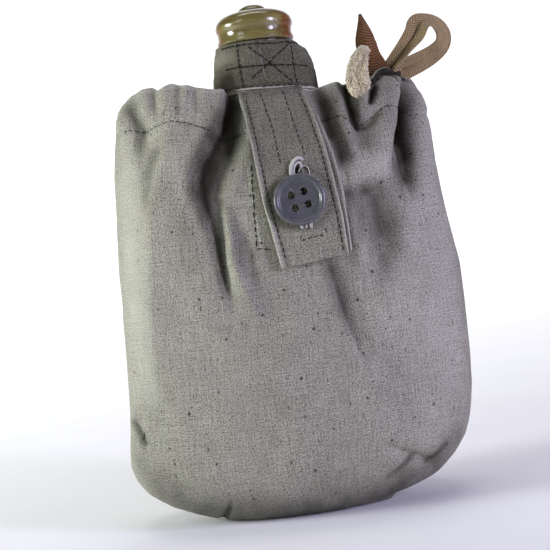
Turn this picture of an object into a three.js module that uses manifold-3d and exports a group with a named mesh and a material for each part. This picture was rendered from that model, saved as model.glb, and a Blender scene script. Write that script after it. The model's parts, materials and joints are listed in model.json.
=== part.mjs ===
// Army canteen: an oval aluminium flask with a screw cap, carried in a drawstring canvas cover that
// buttons round its neck and hangs from a belt loop.
// Millimetres. +Z up along the flask's axis, the buttoned front faces -Y, origin at the middle of the
// flat under the cover.
import * as THREE from "three";
import { mergeVertices } from "three/addons/utils/BufferGeometryUtils.js";
import Module from "manifold-3d";

const wasm = await Module();
wasm.setup();

// ---- driving dimensions -------------------------------------------------------------------------
const GAP = 0.3; // running gap between touching pieces
const CLOTH = 1.2; // cover cloth, stated thick so that it stays a sound solid
const NECK_R = 12.8; // neck tube outside
const NECK_BORE_R = 11.2; // neck tube inside
const NECK_TOP = 207.9;
const THREAD_PITCH = 4.0;
const THREAD_R = 0.85; // rolled ridge radius
const THREAD_FROM = 200.6; // height of the neck ridge's start
const THREAD_TURNS = 1.25;
const CAP_BOTTOM = 198.5;
const CAP_R = 16.5;
const COLLAR_BOTTOM = 176.0;
const COLLAR_TOP = 197.6;
// Half width, half depth and squareness of the collar's outside at its lower edge, and its round top.
const COLLAR_A = 21.6;
const COLLAR_B = 20.9;
const COLLAR_N = 2.6;
const COLLAR_R_TOP = 16.9;
const COLLAR_T = 1.6;
const STRAP_W = 27.0;
const STRAP_PLY = 0.9;
const STRAP_END = 105.4; // height of the strap's lower edge
const STRAP_SKEW = 0.112; // sideways run for each millimetre down
const STRAP_X_TOP = 4.6; // the strap's middle at the collar
const BUTTON_R = 10.4;
const BUTTON_X = 8.6;
const BUTTON_Z = 129.6;
const BUTTONHOLE_L = 26.5;
const BUTTONHOLE_W = 3.6;
const TAPE_W = 10.0;
const TAPE_T = 1.2;
const HEM = 17.5; // depth of the drawstring channel
const LOOP_W = 46.0; // belt loop width
const BELT_LOW = 98.0; // clear height inside the belt loop
const BELT_HIGH = 158.0;

// ---- helpers ------------------------------------------------------------------------------------
const V = (x, y, z) => new THREE.Vector3(x, y, z);
const lerp = (a, b, t) => a + (b - a) * t;

// Smooth interpolation through a table of [key, value, value...] rows.
function table(rows) {
  const curves = [];
  for (let c = 1; c < rows[0].length; c++) curves.push(rows.map((r) => r[c]));
  const keys = rows.map((r) => r[0]);
  return (k) => {
    if (k <= keys[0]) return curves.map((c) => c[0]);
    const n = keys.length - 1;
    if (k >= keys[n]) return curves.map((c) => c[n]);
    let i = 0;
    while (keys[i + 1] < k) i++;
    const h = keys[i + 1] - keys[i],
      t = (k - keys[i]) / h;
    return curves.map((c) => {
      const slope = (j) => {
        if (j === 0 || j === n) return 0;
        const a = (c[j] - c[j - 1]) / (keys[j] - keys[j - 1]),
          b = (c[j + 1] - c[j]) / (keys[j + 1] - keys[j]);
        return a * b <= 0 ? 0 : (2 * a * b) / (a + b);
      };
      const edge = (j) =>
        j === 0
          ? (c[1] - c[0]) / (keys[1] - keys[0])
          : j === n
            ? (c[n] - c[n - 1]) / (keys[n] - keys[n - 1])
            : slope(j);
      const t2 = t * t,
        t3 = t2 * t;
      return (
        (2 * t3 - 3 * t2 + 1) * c[i] +
        (t3 - 2 * t2 + t) * h * edge(i) +
        (-2 * t3 + 3 * t2) * c[i + 1] +
        (t3 - t2) * h * edge(i + 1)
      );
    });
  };
}

function geometryOf(points, faces) {
  const position = new Float32Array(points.length * 3);
  points.forEach((p, i) => position.set([p.x, p.y, p.z], i * 3));
  const g = new THREE.BufferGeometry();
  g.setAttribute("position", new THREE.BufferAttribute(position, 3));
  g.setIndex(faces);
  return g;
}

// A closed mesh as a solid with its faces pointing out.
function solid(geometry) {
  const g = geometry.clone();
  g.deleteAttribute("normal");
  g.deleteAttribute("uv");
  const merged = mergeVertices(g, 1e-4);
  const index = merged.index.array;
  const keep = [];
  for (let i = 0; i < index.length; i += 3)
    if (
      index[i] !== index[i + 1] &&
      index[i + 1] !== index[i + 2] &&
      index[i] !== index[i + 2]
    )
      keep.push(index[i], index[i + 1], index[i + 2]);
  const build = (tris) =>
    new wasm.Manifold(
      new wasm.Mesh({
        numProp: 3,
        vertProperties: merged.attributes.position.array,
        triVerts: new Uint32Array(tris),
      }),
    );
  let made = build(keep);
  if (made.volume() < 0) {
    for (let i = 0; i < keep.length; i += 3)
      [keep[i + 1], keep[i + 2]] = [keep[i + 2], keep[i + 1]];
    made = build(keep);
  }
  return made;
}

function geometry(made) {
  const m = made.getMesh(),
    n = m.numProp,
    position = new Float32Array(m.numVert * 3);
  for (let i = 0; i < m.numVert; i++)
    position.set(m.vertProperties.subarray(i * n, i * n + 3), i * 3);
  const g = new THREE.BufferGeometry();
  g.setAttribute("position", new THREE.BufferAttribute(position, 3));
  g.setIndex(new THREE.BufferAttribute(m.triVerts, 1));
  g.computeVertexNormals();
  return g;
}

// Joins rings of points, all with the same count. wrap: the rings close on themselves.
function loft(rings, wrap = false) {
  const n = rings[0].length,
    points = rings.flat(),
    faces = [];
  const last = wrap ? rings.length : rings.length - 1;
  for (let k = 0; k < last; k++) {
    const a = k * n,
      b = ((k + 1) % rings.length) * n;
    for (let j = 0; j < n; j++) {
      const j1 = (j + 1) % n;
      faces.push(a + j, b + j, b + j1, a + j, b + j1, a + j1);
    }
  }
  if (!wrap)
    for (const [ring, start, flip] of [
      [rings[0], 0, true],
      [rings[rings.length - 1], (rings.length - 1) * n, false],
    ]) {
      const normal = V(0, 0, 0);
      ring.forEach((p, i) =>
        normal.add(p.clone().cross(ring[(i + 1) % n])),
      );
      const drop =
        Math.abs(normal.x) > Math.abs(normal.y) &&
        Math.abs(normal.x) > Math.abs(normal.z)
          ? "x"
          : Math.abs(normal.y) > Math.abs(normal.z)
            ? "y"
            : "z";
      const flat = ring.map((p) =>
        drop === "x"
          ? new THREE.Vector2(p.y, p.z)
          : drop === "y"
            ? new THREE.Vector2(p.z, p.x)
            : new THREE.Vector2(p.x, p.y),
      );
      const area = THREE.ShapeUtils.area(flat);
      for (const t of THREE.ShapeUtils.triangulateShape(flat, [])) {
        const [p, q, r] = t.map((i) => i + start);
        if (area < 0 !== flip) faces.push(p, r, q);
        else faces.push(p, q, r);
        void area;
      }
    }
  return geometryOf(points, faces);
}

// A loft whose caps are set so that the whole faces out, whichever way its rings run.
function closedLoft(rings, wrap = false) {
  const g = loft(rings, wrap);
  try {
    return solid(g);
  } catch (error) {
    if (wrap) throw error;
  }
  // The caps run the other way round: turn them.
  const n = rings[0].length,
    sides = (rings.length - 1) * n * 6,
    index = Array.from(g.index.array);
  for (let i = sides; i < index.length; i += 3)
    [index[i + 1], index[i + 2]] = [index[i + 2], index[i + 1]];
  g.setIndex(index);
  return solid(g);
}

// Columns of points round an axis; each column starts and ends on the axis, at shared poles.
function domeLoft(columns) {
  const m = columns[0].length,
    n = columns.length,
    points = [columns[0][0], columns[0][m - 1]],
    faces = [];
  for (const c of columns) points.push(...c.slice(1, m - 1));
  const at = (k, j) => 2 + (k % n) * (m - 2) + (j - 1);
  for (let k = 0; k < n; k++) {
    faces.push(0, at(k + 1, 1), at(k, 1));
    for (let j = 1; j < m - 2; j++)
      faces.push(
        at(k, j), at(k + 1, j), at(k + 1, j + 1),
        at(k, j), at(k + 1, j + 1), at(k, j + 1),
      );
    faces.push(1, at(k, m - 2), at(k + 1, m - 2));
  }
  return solid(geometryOf(points, faces));
}

// Point of a superellipse.
function oval(a, b, n, angle, z) {
  const c = Math.cos(angle),
    s = Math.sin(angle);
  return V(
    a * Math.sign(c) * Math.abs(c) ** (2 / n),
    b * Math.sign(s) * Math.abs(s) ** (2 / n),
    z,
  );
}

// A ring of revolution from a closed profile of [r, z].
function turned(profile, segments) {
  const points = profile.map(([r, z]) => new THREE.Vector2(r, z));
  points.push(points[0].clone());
  const g = new THREE.LatheGeometry(points, segments);
  g.rotateX(Math.PI / 2); // lathe turns about Y; the part's axis is Z
  return solid(g);
}

class Helix extends THREE.Curve {
  constructor(radius, from, turns, pitch, phase) {
    super();
    Object.assign(this, { radius, from, turns, pitch, phase });
  }
  getPoint(t, out = V(0, 0, 0)) {
    const angle = this.phase + t * this.turns * 2 * Math.PI;
    return out.set(
      this.radius * Math.cos(angle),
      this.radius * Math.sin(angle),
      this.from + t * this.turns * this.pitch,
    );
  }
}

function ridge(radius, size, from, turns, phase, sides = 6, perTurn = 28) {
  const shape = new THREE.Shape();
  for (let i = 0; i < sides; i++) {
    const a = (i / sides) * 2 * Math.PI + 0.2;
    if (i) shape.lineTo(size * Math.cos(a), size * Math.sin(a));
    else shape.moveTo(size * Math.cos(a), size * Math.sin(a));
  }
  shape.closePath();
  return solid(
    new THREE.ExtrudeGeometry(shape, {
      steps: Math.ceil(turns * perTurn),
      extrudePath: new Helix(radius, from, turns, THREAD_PITCH, phase),
      bevelEnabled: false,
    }),
  );
}

// A flat band along a path: at each step a middle point, a width direction and a face direction.
function band(steps, width, thickness) {
  return closedLoft(
    steps.map(({ at, across, face }) => {
      const w = across.clone().normalize().multiplyScalar(width / 2),
        f = face.clone().normalize().multiplyScalar(thickness / 2);
      return [
        at.clone().sub(w).sub(f),
        at.clone().add(w).sub(f),
        at.clone().add(w).add(f),
        at.clone().sub(w).add(f),
      ];
    }),
  );
}

const root = new THREE.Group();
root.name = "canteen";
const material = {
  enamel: new THREE.MeshStandardMaterial({ color: 0x6f6a35, roughness: 0.25, metalness: 0.1 }),
  aluminium: new THREE.MeshStandardMaterial({ color: 0xb9bbb8, roughness: 0.4, metalness: 1.0 }),
  rubber: new THREE.MeshStandardMaterial({ color: 0x1d1c1a, roughness: 0.8, metalness: 0.0 }),
  canvas: new THREE.MeshStandardMaterial({ color: 0x85826f, roughness: 0.95, metalness: 0.0 }),
  strap: new THREE.MeshStandardMaterial({ color: 0x6f6c56, roughness: 0.95, metalness: 0.0 }),
  tape: new THREE.MeshStandardMaterial({ color: 0xa3916d, roughness: 0.95, metalness: 0.0 }),
  plastic: new THREE.MeshStandardMaterial({ color: 0x4d5158, roughness: 0.3, metalness: 0.0 }),
  thread: new THREE.MeshStandardMaterial({ color: 0xc9c8c0, roughness: 0.9, metalness: 0.0 }),
};
function add(name, made, look) {
  const mesh = new THREE.Mesh(geometry(made), material[look]);
  mesh.name = name;
  root.add(mesh);
  return mesh;
}

// ---- flask --------------------------------------------------------------------------------------
// Height, half width, half depth, squareness of the outside.
const FLASK = [
  [2.4, 35.5, 14, 2.3],
  [3.6, 40.5, 18.8, 2.3],
  [8, 50, 25, 2.3],
  [17, 61, 30, 2.3],
  [34, 67, 32, 2.3],
  [70, 67.3, 32.4, 2.3],
  [112, 66.6, 32, 2.3],
  [132, 63.5, 30.2, 2.25],
  [146, 57, 27, 2.2],
  [156, 46, 22.8, 2.1],
  [162.5, 34, 19.2, 2.05],
  [167, 24, 16.6, 2.0],
  [171, 17.2, 15.2, 2.0],
  [176, 14.6, 14.6, 2.0],
  [181, 13.4, 13.4, 2.0],
  [185, NECK_R, NECK_R, 2.0],
  [NECK_TOP - 0.6, NECK_R, NECK_R, 2.0],
  [NECK_TOP, NECK_R - 0.5, NECK_R - 0.5, 2.0],
];
const WALL = 1.6;
const flaskInner = FLASK.slice()
  .reverse()
  .map(([z, a, b, n], i) => {
    if (z > 184) return [z, NECK_BORE_R, NECK_BORE_R, 2.0];
    return [z + (z < 20 ? lerp(WALL, 0.4, z / 20) : 0), a - WALL, b - WALL, n];
  });
flaskInner[0][0] = NECK_TOP;
flaskInner.splice(1, 1);
const FLASK_COLUMNS = 36;
const flaskColumns = [];
for (let k = 0; k < FLASK_COLUMNS; k++) {
  const angle = (k / FLASK_COLUMNS) * 2 * Math.PI;
  flaskColumns.push([
    V(0, 0, FLASK[0][0]),
    ...FLASK.map(([z, a, b, n]) => oval(a, b, n, angle, z)),
    ...flaskInner.map(([z, a, b, n]) => oval(a, b, n, angle, z)),
    V(0, 0, FLASK[0][0] + WALL),
  ]);
}
const flask = domeLoft(flaskColumns).add(
  ridge(NECK_R + 0.15, THREAD_R, THREAD_FROM, THREAD_TURNS, 0),
);
add("flask_body", flask, "enamel");

// ---- cap ----------------------------------------------------------------------------------------
const capShell = turned(
  [
    [2.4, 212.3], [7, 212.2], [11.2, 211.5], [14.2, 210.2], [15.9, 208.4], [CAP_R, 206.3],
    [16.25, 204.9], [15.75, 203.9], [15.65, 201.6], [16.1, 200.5], [16.3, 199.5],
    [15.9, CAP_BOTTOM], [14.75, CAP_BOTTOM], [14.55, 199.2], [14.55, 209.2], [13.6, 210.4],
    [2.4, 210.4],
  ],
  40,
);
// Its ridge runs half a pitch from the neck's, so the two stay in mesh as the cap turns and rises.
const cap = capShell.add(
  ridge(14.35, 0.85, 199.9, 1.2, 2 * Math.PI * ((199.9 - THREAD_FROM - THREAD_PITCH / 2) / THREAD_PITCH)),
);
add("screw_cap", cap, "enamel");
add(
  "cap_rivet",
  turned(
    [
      [0, 215.2], [3.0, 214.95], [5.0, 214.1], [6.1, 213.0], [6.2, 212.6], [2.0, 212.6],
      [2.0, 207.5], [3.8, 207.2], [3.9, 206.4], [2.4, 205.8], [0, 205.7],
    ],
    24,
  ),
  "enamel",
);
add(
  "cap_seal",
  turned([[3.0, 210.1], [13.2, 210.1], [14.0, 209.3], [14.0, 208.8], [13.5, 208.2], [3.0, 208.2]], 36),
  "rubber",
);
add(
  "seal_washer",
  turned([[2.3, 207.9], [9.4, 207.9], [9.4, 207.45], [2.3, 207.45]], 28),
  "aluminium",
);

// ---- cover --------------------------------------------------------------------------------------
// Height, half width, half depth, squareness of the outside.
const cover = table([
  [0, 46, 19.5, 2.3],
  [1.5, 51, 23.5, 2.3],
  [6, 59, 28.5, 2.3],
  [16, 69.5, 33, 2.3],
  [30, 73.6, 35.6, 2.3],
  [53, 74.4, 37, 2.25],
  [73, 74, 37.3, 2.25],
  [99, 73.3, 37.2, 2.2],
  [121, 71.5, 36, 2.15],
  [136, 70, 34.2, 2.1],
  [150, 68.6, 30.4, 2.0],
  [159, 67.6, 26.6, 2.0],
  [166, 66.3, 23.2, 2.0],
  [172, 64.8, 20.5, 2.0],
  [179, 62.4, 19.5, 2.0],
  [184, 60.6, 19.2, 2.0],
]);
// The mouth's edge dips at the neck and stands higher to the sides, less so at the tied side.
const mouth = (x) => lerp(172, x < 0 ? 183.4 : 179.0, THREE.MathUtils.smoothstep(Math.abs(x), 19, 34));
const SIDE = 0.15; // half the gap between the two panels

function coverPoint(z, inset, angle) {
  const [a, b, n] = cover(z);
  return oval(a - inset, Math.max(b - inset, 1), n, angle, z);
}
// Depth of the cover's outside in front of the middle plane, at a point of its front or back.
function coverDepth(x, z) {
  const [a, b, n] = cover(z);
  return b * Math.max(1 - Math.abs(x / a) ** n, 0) ** (1 / n) + SIDE;
}
const STATIONS = 23; // columns across each panel: odd, so that no seam of facets crosses the middle
function coverPanel(side) {
  // side -1 front, +1 back. Each column is a closed profile: up the outside, over the folded hem with
  // the tape channel in it, and down the inside to the seam. The seam under the bottom lies towards
  // the back, so the front panel runs under the middle.
  const rings = [];
  for (let k = 0; k <= STATIONS; k++) {
    const angle = (k / STATIONS) * Math.PI + (side < 0 ? Math.PI : 0);
    const across = 62 * Math.cos(angle);
    const top = mouth(across);
    const hem = top - HEM;
    const x = 43 * Math.cos(angle);
    const seam = side * SIDE + 11 * (1 - (x / 43) ** 2);
    const ring = [];
    const place = (p) => {
      p.y = side * (Math.abs(p.y) + SIDE);
      ring.push(p);
    };
    ring.push(V(x, seam, 0));
    for (const z of [0, 1.5, 6, 16, 30, 53, 76, 99, 121, 136, 148, hem, (hem + top) / 2, top - 0.6])
      place(coverPoint(z, 0, angle));
    place(coverPoint(top, 0.5, angle));
    place(coverPoint(top, 3.7, angle));
    place(coverPoint(top - 0.6, 4.2, angle));
    place(coverPoint((hem + top) / 2, 4.2, angle));
    place(coverPoint(hem, 4.2, angle));
    place(coverPoint(hem, 3.2, angle));
    place(coverPoint((hem + top) / 2, 3.2, angle));
    place(coverPoint(top - 1.4, 3.2, angle));
    place(coverPoint(top - 1.4, CLOTH, angle));
    place(coverPoint((hem + top) / 2, CLOTH, angle));
    for (const z of [hem, 148, 136, 121, 99, 76, 53, 30, 16, 7, 2.6]) place(coverPoint(z, CLOTH, angle));
    const foot = coverPoint(0, CLOTH + 1, angle);
    place(V(foot.x, foot.y, 1.5));
    ring.push(V(x, seam, 1.5));
    rings.push(ring);
  }
  return closedLoft(rings);
}
add("cover_front", coverPanel(-1), "canvas");
add("cover_back", coverPanel(1), "canvas");

// ---- drawstring ---------------------------------------------------------------------------------
// The run inside the hem: from the exit at one side, right round the mouth, on the panels' columns.
{
  const rings = [];
  for (let k = 1; k < 2 * STATIONS; k++) {
    const angle = (k / STATIONS) * Math.PI;
    const top = mouth(62 * Math.cos(angle)),
      middle = top - HEM / 2;
    const place = (z, inset) => {
      const p = coverPoint(z, inset, angle);
      p.y = k === STATIONS ? 0 : Math.sign(Math.sin(angle)) * (Math.abs(p.y) + SIDE);
      return p;
    };
    const half = TAPE_W / 2;
    rings.push([
      place(middle - half, 2.55), place(middle, 2.55), place(middle + half, 2.55),
      place(middle + half, 1.8), place(middle, 1.8), place(middle - half, 1.8),
    ]);
  }
  add("drawstring_run", closedLoft(rings), "tape");
}

// ---- collar -------------------------------------------------------------------------------------
// A soft cone round the neck, squarer at the foot where the strap and the tab pull it flat.
{
  const at = (t) => [
    lerp(COLLAR_A, COLLAR_R_TOP, t),
    lerp(COLLAR_B, COLLAR_R_TOP, t),
    lerp(COLLAR_N, 2, t),
    lerp(COLLAR_BOTTOM, COLLAR_TOP, t),
  ];
  const rings = [];
  for (let k = 0; k < 44; k++) {
    const angle = (k / 44) * 2 * Math.PI;
    const ring = [];
    for (const t of [0, 0.25, 0.5, 0.75, 1]) {
      const [a, b, n, z] = at(t),
        swell = 0.5 * Math.sin(Math.PI * t);
      ring.push(oval(a + swell, b + swell, n, angle, z));
    }
    for (const t of [1, 0.75, 0.5, 0.25, 0]) {
      const [a, b, n, z] = at(t),
        swell = 0.5 * Math.sin(Math.PI * t) - COLLAR_T;
      ring.push(oval(a + swell, b + swell, n, angle, z));
    }
    rings.push(ring);
  }
  add("neck_collar", closedLoft(rings, true), "strap");
}

// ---- strap --------------------------------------------------------------------------------------
// A strip of cloth lying on a surface given as depth(x, z): one curved cross-section for each height.
function laid(zs, middle, width, depth, inset, thickness, side = -1, parts = 6, lean = () => 0) {
  const normal = (x, z) => {
    const e = 0.2;
    return V(
      -(depth(x + e, z) - depth(x - e, z)) / (2 * e),
      side * 1,
      -(depth(x, z + e) - depth(x, z - e)) / (2 * e),
    ).normalize();
  };
  return closedLoft(
    zs.map((z) => {
      const near = [],
        far = [];
      for (let i = 0; i <= parts; i++) {
        const s = (i / parts - 0.5) * width,
          x = middle(z) + s,
          h = z + s * lean(z),
          n = normal(x, h),
          p = V(x, side * depth(x, h), h);
        near.push(p.clone().addScaledVector(n, inset));
        far.unshift(p.clone().addScaledVector(n, inset + thickness));
      }
      return [...near, ...far];
    }),
  );
}
const strapX = (z) => STRAP_X_TOP + STRAP_SKEW * (COLLAR_BOTTOM - z);
const STRAP_CLEAR = 0.45;
// The surface under the strap: the cover's front, and at the top the collar's foot.
function underStrap(x, z) {
  const collar = COLLAR_B * (1 - Math.min(Math.abs(x / COLLAR_A), 0.98) ** COLLAR_N) ** (1 / COLLAR_N);
  const t = THREE.MathUtils.smoothstep(z, 171.6, COLLAR_BOTTOM);
  return lerp(coverDepth(x, z) + STRAP_CLEAR, collar - 1.6, t);
}
function strapPly(inset, width, shift, endUp = 0) {
  return laid(
    [COLLAR_BOTTOM - 1.2, 174, 172.8, 171.4, 169, 166, 162, 157, 152, 147, 142, 136, 130, 124, 118, 112, STRAP_END + endUp],
    (z) => strapX(z) + shift,
    width,
    underStrap,
    inset,
    STRAP_PLY,
    -1,
    6,
    (z) => STRAP_SKEW * (1 - THREE.MathUtils.smoothstep(z, 140, 170)),
  );
}
// The buttonhole, a round-ended slot along the strap.
const buttonX = BUTTON_X;
const buttonFaceY = underStrap(buttonX, BUTTON_Z);
const buttonTilt = Math.atan2(underStrap(buttonX, BUTTON_Z - 4) - underStrap(buttonX, BUTTON_Z + 4), 8); // lean back
function slot(length, width, depth) {
  const shape = new THREE.Shape();
  const h = length / 2 - width / 2,
    r = width / 2;
  shape.absarc(0, h, r, 0, Math.PI, false);
  shape.absarc(0, -h, r, Math.PI, 2 * Math.PI, false);
  shape.closePath();
  const g = new THREE.ExtrudeGeometry(shape, { depth, bevelEnabled: false, curveSegments: 5 });
  g.translate(0, 0, -depth / 2);
  return g;
}
// Puts a shape drawn in X-Y, facing +Z, on the strap's front at the button.
function onStrap(g, out = 0) {
  const outward = V(0, -Math.cos(buttonTilt), Math.sin(buttonTilt));
  const right = V(1, 0, STRAP_SKEW).normalize();
  const up = outward.clone().cross(right).normalize();
  const across = up.clone().cross(outward).normalize();
  const m = new THREE.Matrix4().makeBasis(across, up, outward);
  const at = V(buttonX, -buttonFaceY, BUTTON_Z).addScaledVector(outward, out);
  m.setPosition(at);
  return g.clone().applyMatrix4(m);
}
const hole = solid(onStrap(slot(BUTTONHOLE_L, BUTTONHOLE_W, 16).translate(0.3, 2.6, 0)));
add("strap_lining", strapPly(0, STRAP_W, 0.7, 1.2).subtract(hole), "strap");
add("closure_strap", strapPly(STRAP_PLY + GAP, STRAP_W, -0.3).subtract(hole), "strap");

// ---- button -------------------------------------------------------------------------------------
const STRAP_T = 2 * STRAP_PLY + GAP;
const BUTTON_BACK = STRAP_T + 1.0;
const buttonBlank = (() => {
  const g = new THREE.LatheGeometry(
    [
      [0, 0], [7.6, 0], [9.6, 0.7], [BUTTON_R, 1.8], [BUTTON_R, 2.2], [9.9, 2.95], [9.1, 3.15],
      [8.5, 2.95], [8.1, 2.3], [7.8, 1.95], [0, 1.85],
    ].map(([r, z]) => new THREE.Vector2(r, z)),
    40,
  );
  g.rotateX(Math.PI / 2);
  return solid(g);
})();
let buttonSolid = buttonBlank;
const HOLE_OFF = 2.65;
const HOLE_TURN = (4.5 * Math.PI) / 180;
for (const x of [-HOLE_OFF, HOLE_OFF])
  for (const y of [-HOLE_OFF, HOLE_OFF]) {
    const h = new THREE.CylinderGeometry(1.55, 1.55, 8, 16);
    h.rotateX(Math.PI / 2);
    h.translate(x, y, 1);
    h.rotateZ(HOLE_TURN);
    buttonSolid = buttonSolid.subtract(solid(h));
  }
add("button", solid(onStrap(geometry(buttonSolid), BUTTON_BACK)), "plastic");
// The thread: a shank behind the button and a stitch through each pair of holes.
const threadParts = [];
{
  const shank = new THREE.CylinderGeometry(1.3, 1.3, BUTTON_BACK - 0.3 + 0.2, 10);
  shank.rotateX(Math.PI / 2);
  shank.translate(0, 0, (BUTTON_BACK - 0.3 - 0.2) / 2);
  threadParts.push(shank);
  const plate = new THREE.BoxGeometry(6.2, 6.2, 0.5);
  plate.translate(0, 0, BUTTON_BACK - 0.55);
  plate.rotateZ(HOLE_TURN);
  threadParts.push(plate);
  for (const y of [-HOLE_OFF, HOLE_OFF]) {
    for (const x of [-HOLE_OFF, HOLE_OFF]) {
      const leg = new THREE.CylinderGeometry(0.6, 0.6, 2.9, 8);
      leg.rotateX(Math.PI / 2);
      leg.translate(x, y, BUTTON_BACK - 0.5 + 1.45);
      leg.rotateZ(HOLE_TURN);
      threadParts.push(leg);
    }
    const bar = new THREE.BoxGeometry(2 * HOLE_OFF + 0.6, 0.9, 0.5);
    bar.translate(0, y, BUTTON_BACK + 1.85 + 0.35 + 0.1);
    bar.rotateZ(HOLE_TURN);
    threadParts.push(bar);
  }
}
add(
  "button_thread",
  threadParts.map((g) => solid(onStrap(g))).reduce((a, b) => a.add(b)),
  "thread",
);

// The patch inside the front panel that the button is sewn through.
{
  add(
    "button_patch",
    laid([111, 117, 123, 129, 135, 141, 147], (z) => strapX(z) - 3.2, 27, coverDepth, -(CLOTH + 0.5 + 0.9), 0.9),
    "canvas",
  );
}

// ---- back ---------------------------------------------------------------------------------------
// Depth of the cover's back at the middle.
const backY = (z) => cover(z)[1] + SIDE;
function backBand(list, width, thickness) {
  const steps = list.map(([z, y], i) => {
    const [zp, yp] = list[Math.max(i - 1, 0)],
      [zn, yn] = list[Math.min(i + 1, list.length - 1)];
    const along = V(0, yn - yp, zn - zp).normalize();
    const face = V(0, Math.abs(along.z), -along.y * Math.sign(along.z)).normalize();
    return { at: V(0, y, z), across: V(1, 0, 0), face };
  });
  return band(steps, width, thickness);
}
// The tab that ties the collar to the back panel.
add(
  "collar_tab",
  backBand(
    [
      [COLLAR_BOTTOM - 0.6, 20.9],
      [173, backY(172) + 0.95],
      [170, backY(170) + 1.2],
      [166, backY(166) + 1.4],
      [161, backY(161) + 1.4],
      [155.5, backY(155.5) + 1.35],
    ],
    26,
    1.2,
  ),
  "strap",
);
// The belt loop: sewn down at both ends, standing off the back between them.
const LOOP_GAP = 6.6;
add(
  "belt_loop",
  backBand(
    [
      [BELT_LOW - 9, backY(BELT_LOW - 9) + 1.25],
      [BELT_LOW - 1, backY(BELT_LOW - 1) + 1.3],
      [BELT_LOW + 2.5, backY(BELT_LOW) + LOOP_GAP],
      [BELT_LOW + 7, backY(BELT_LOW) + LOOP_GAP + 0.9],
      [115, backY(115) + LOOP_GAP + 1.1],
      [128, backY(124) + LOOP_GAP + 1.2],
      [140, backY(132) + LOOP_GAP + 1.0],
      [149, backY(141) + LOOP_GAP + 0.6],
      [BELT_HIGH - 3, backY(BELT_HIGH - 3) + LOOP_GAP + 2.2],
      [BELT_HIGH + 1, backY(BELT_HIGH + 1) + 3.6],
      [BELT_HIGH + 4, backY(BELT_HIGH + 4) + 2.95],
      [BELT_HIGH + 9, backY(BELT_HIGH + 9) + 2.85],
    ],
    LOOP_W,
    1.2,
  ),
  "canvas",
);

// ---- bow ----------------------------------------------------------------------------------------
// The tape leaves the hem at the wearer's left and is tied in a half bow: one loop, one long tail and
// one short end, all from the knot.
function tape(points, width = TAPE_W, samples = 24) {
  const curve = new THREE.CatmullRomCurve3(points.map((p) => V(...p.slice(0, 3))), false, "centripetal");
  const turn = points.map((p) => p[3]);
  const steps = [];
  for (let i = 0; i <= samples; i++) {
    const t = i / samples,
      at = curve.getPoint(t),
      along = curve.getTangent(t);
    const f = t * (turn.length - 1),
      j = Math.min(Math.floor(f), turn.length - 2),
      angle = THREE.MathUtils.degToRad(lerp(turn[j], turn[j + 1], f - j));
    // at 0 degrees the tape's width lies across the view from the front
    const view = V(0, 1, 0);
    const flat = along.clone().cross(view).normalize();
    const deep = flat.clone().cross(along).normalize();
    const across = flat.clone().multiplyScalar(Math.cos(angle)).addScaledVector(deep, Math.sin(angle));
    const face = along.clone().cross(across);
    steps.push({ at, across, face });
  }
  return band(steps, width, TAPE_T);
}
add(
  "drawstring_loop",
  tape(
    [
      [58.2, -4.5, 184.2, 40],
      [61.9, -5.5, 188.2, 35],
      [66.2, -6.5, 193.9, 20],
      [69.5, -6.2, 198.2, 30],
      [74.0, -4.8, 198.9, 55],
      [78.6, -3.0, 196.0, 40],
      [79.6, -1.0, 191.2, 25],
      [76.0, 1.0, 187.0, 20],
      [70.5, 2.4, 184.9, 20],
      [65.0, 2.6, 184.1, 25],
    ],
    8,
    26,
  ),
  "tape",
);
add(
  "drawstring_tail",
  tape(
    [
      [50.0, 1.2, 184.2, 20],
      [47.6, 0.6, 189.0, 10],
      [46.2, 0.2, 194.0, 0],
      [45.5, 0.0, 199.0, 0],
      [44.8, 0.0, 204.4, 10],
    ],
    8.5,
    10,
  ),
  "tape",
);
add(
  "drawstring_end",
  tape(
    [
      [50.6, -8.5, 183.2, 20],
      [47.4, -13.0, 187.0, 10],
      [43.6, -16.8, 188.6, 0],
      [41.2, -18.9, 185.4, 0],
      [40.2, -20.0, 179.6, 0],
      [40.3, -21.3, 173.2, 0],
    ],
    8,
    14,
  ),
  "tape",
);
{
  const knot = new THREE.SphereGeometry(1, 14, 10);
  knot.scale(4.4, 5.0, 2.5);
  knot.translate(55.0, -1.6, 182.1);
  add("drawstring_knot", solid(knot), "tape");
}

export default root;
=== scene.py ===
# The looks of the canteen: cloth, stitching, tape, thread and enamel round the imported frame.
import bpy
import json
import math
import numpy as np
from mathutils import Matrix, Vector

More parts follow.
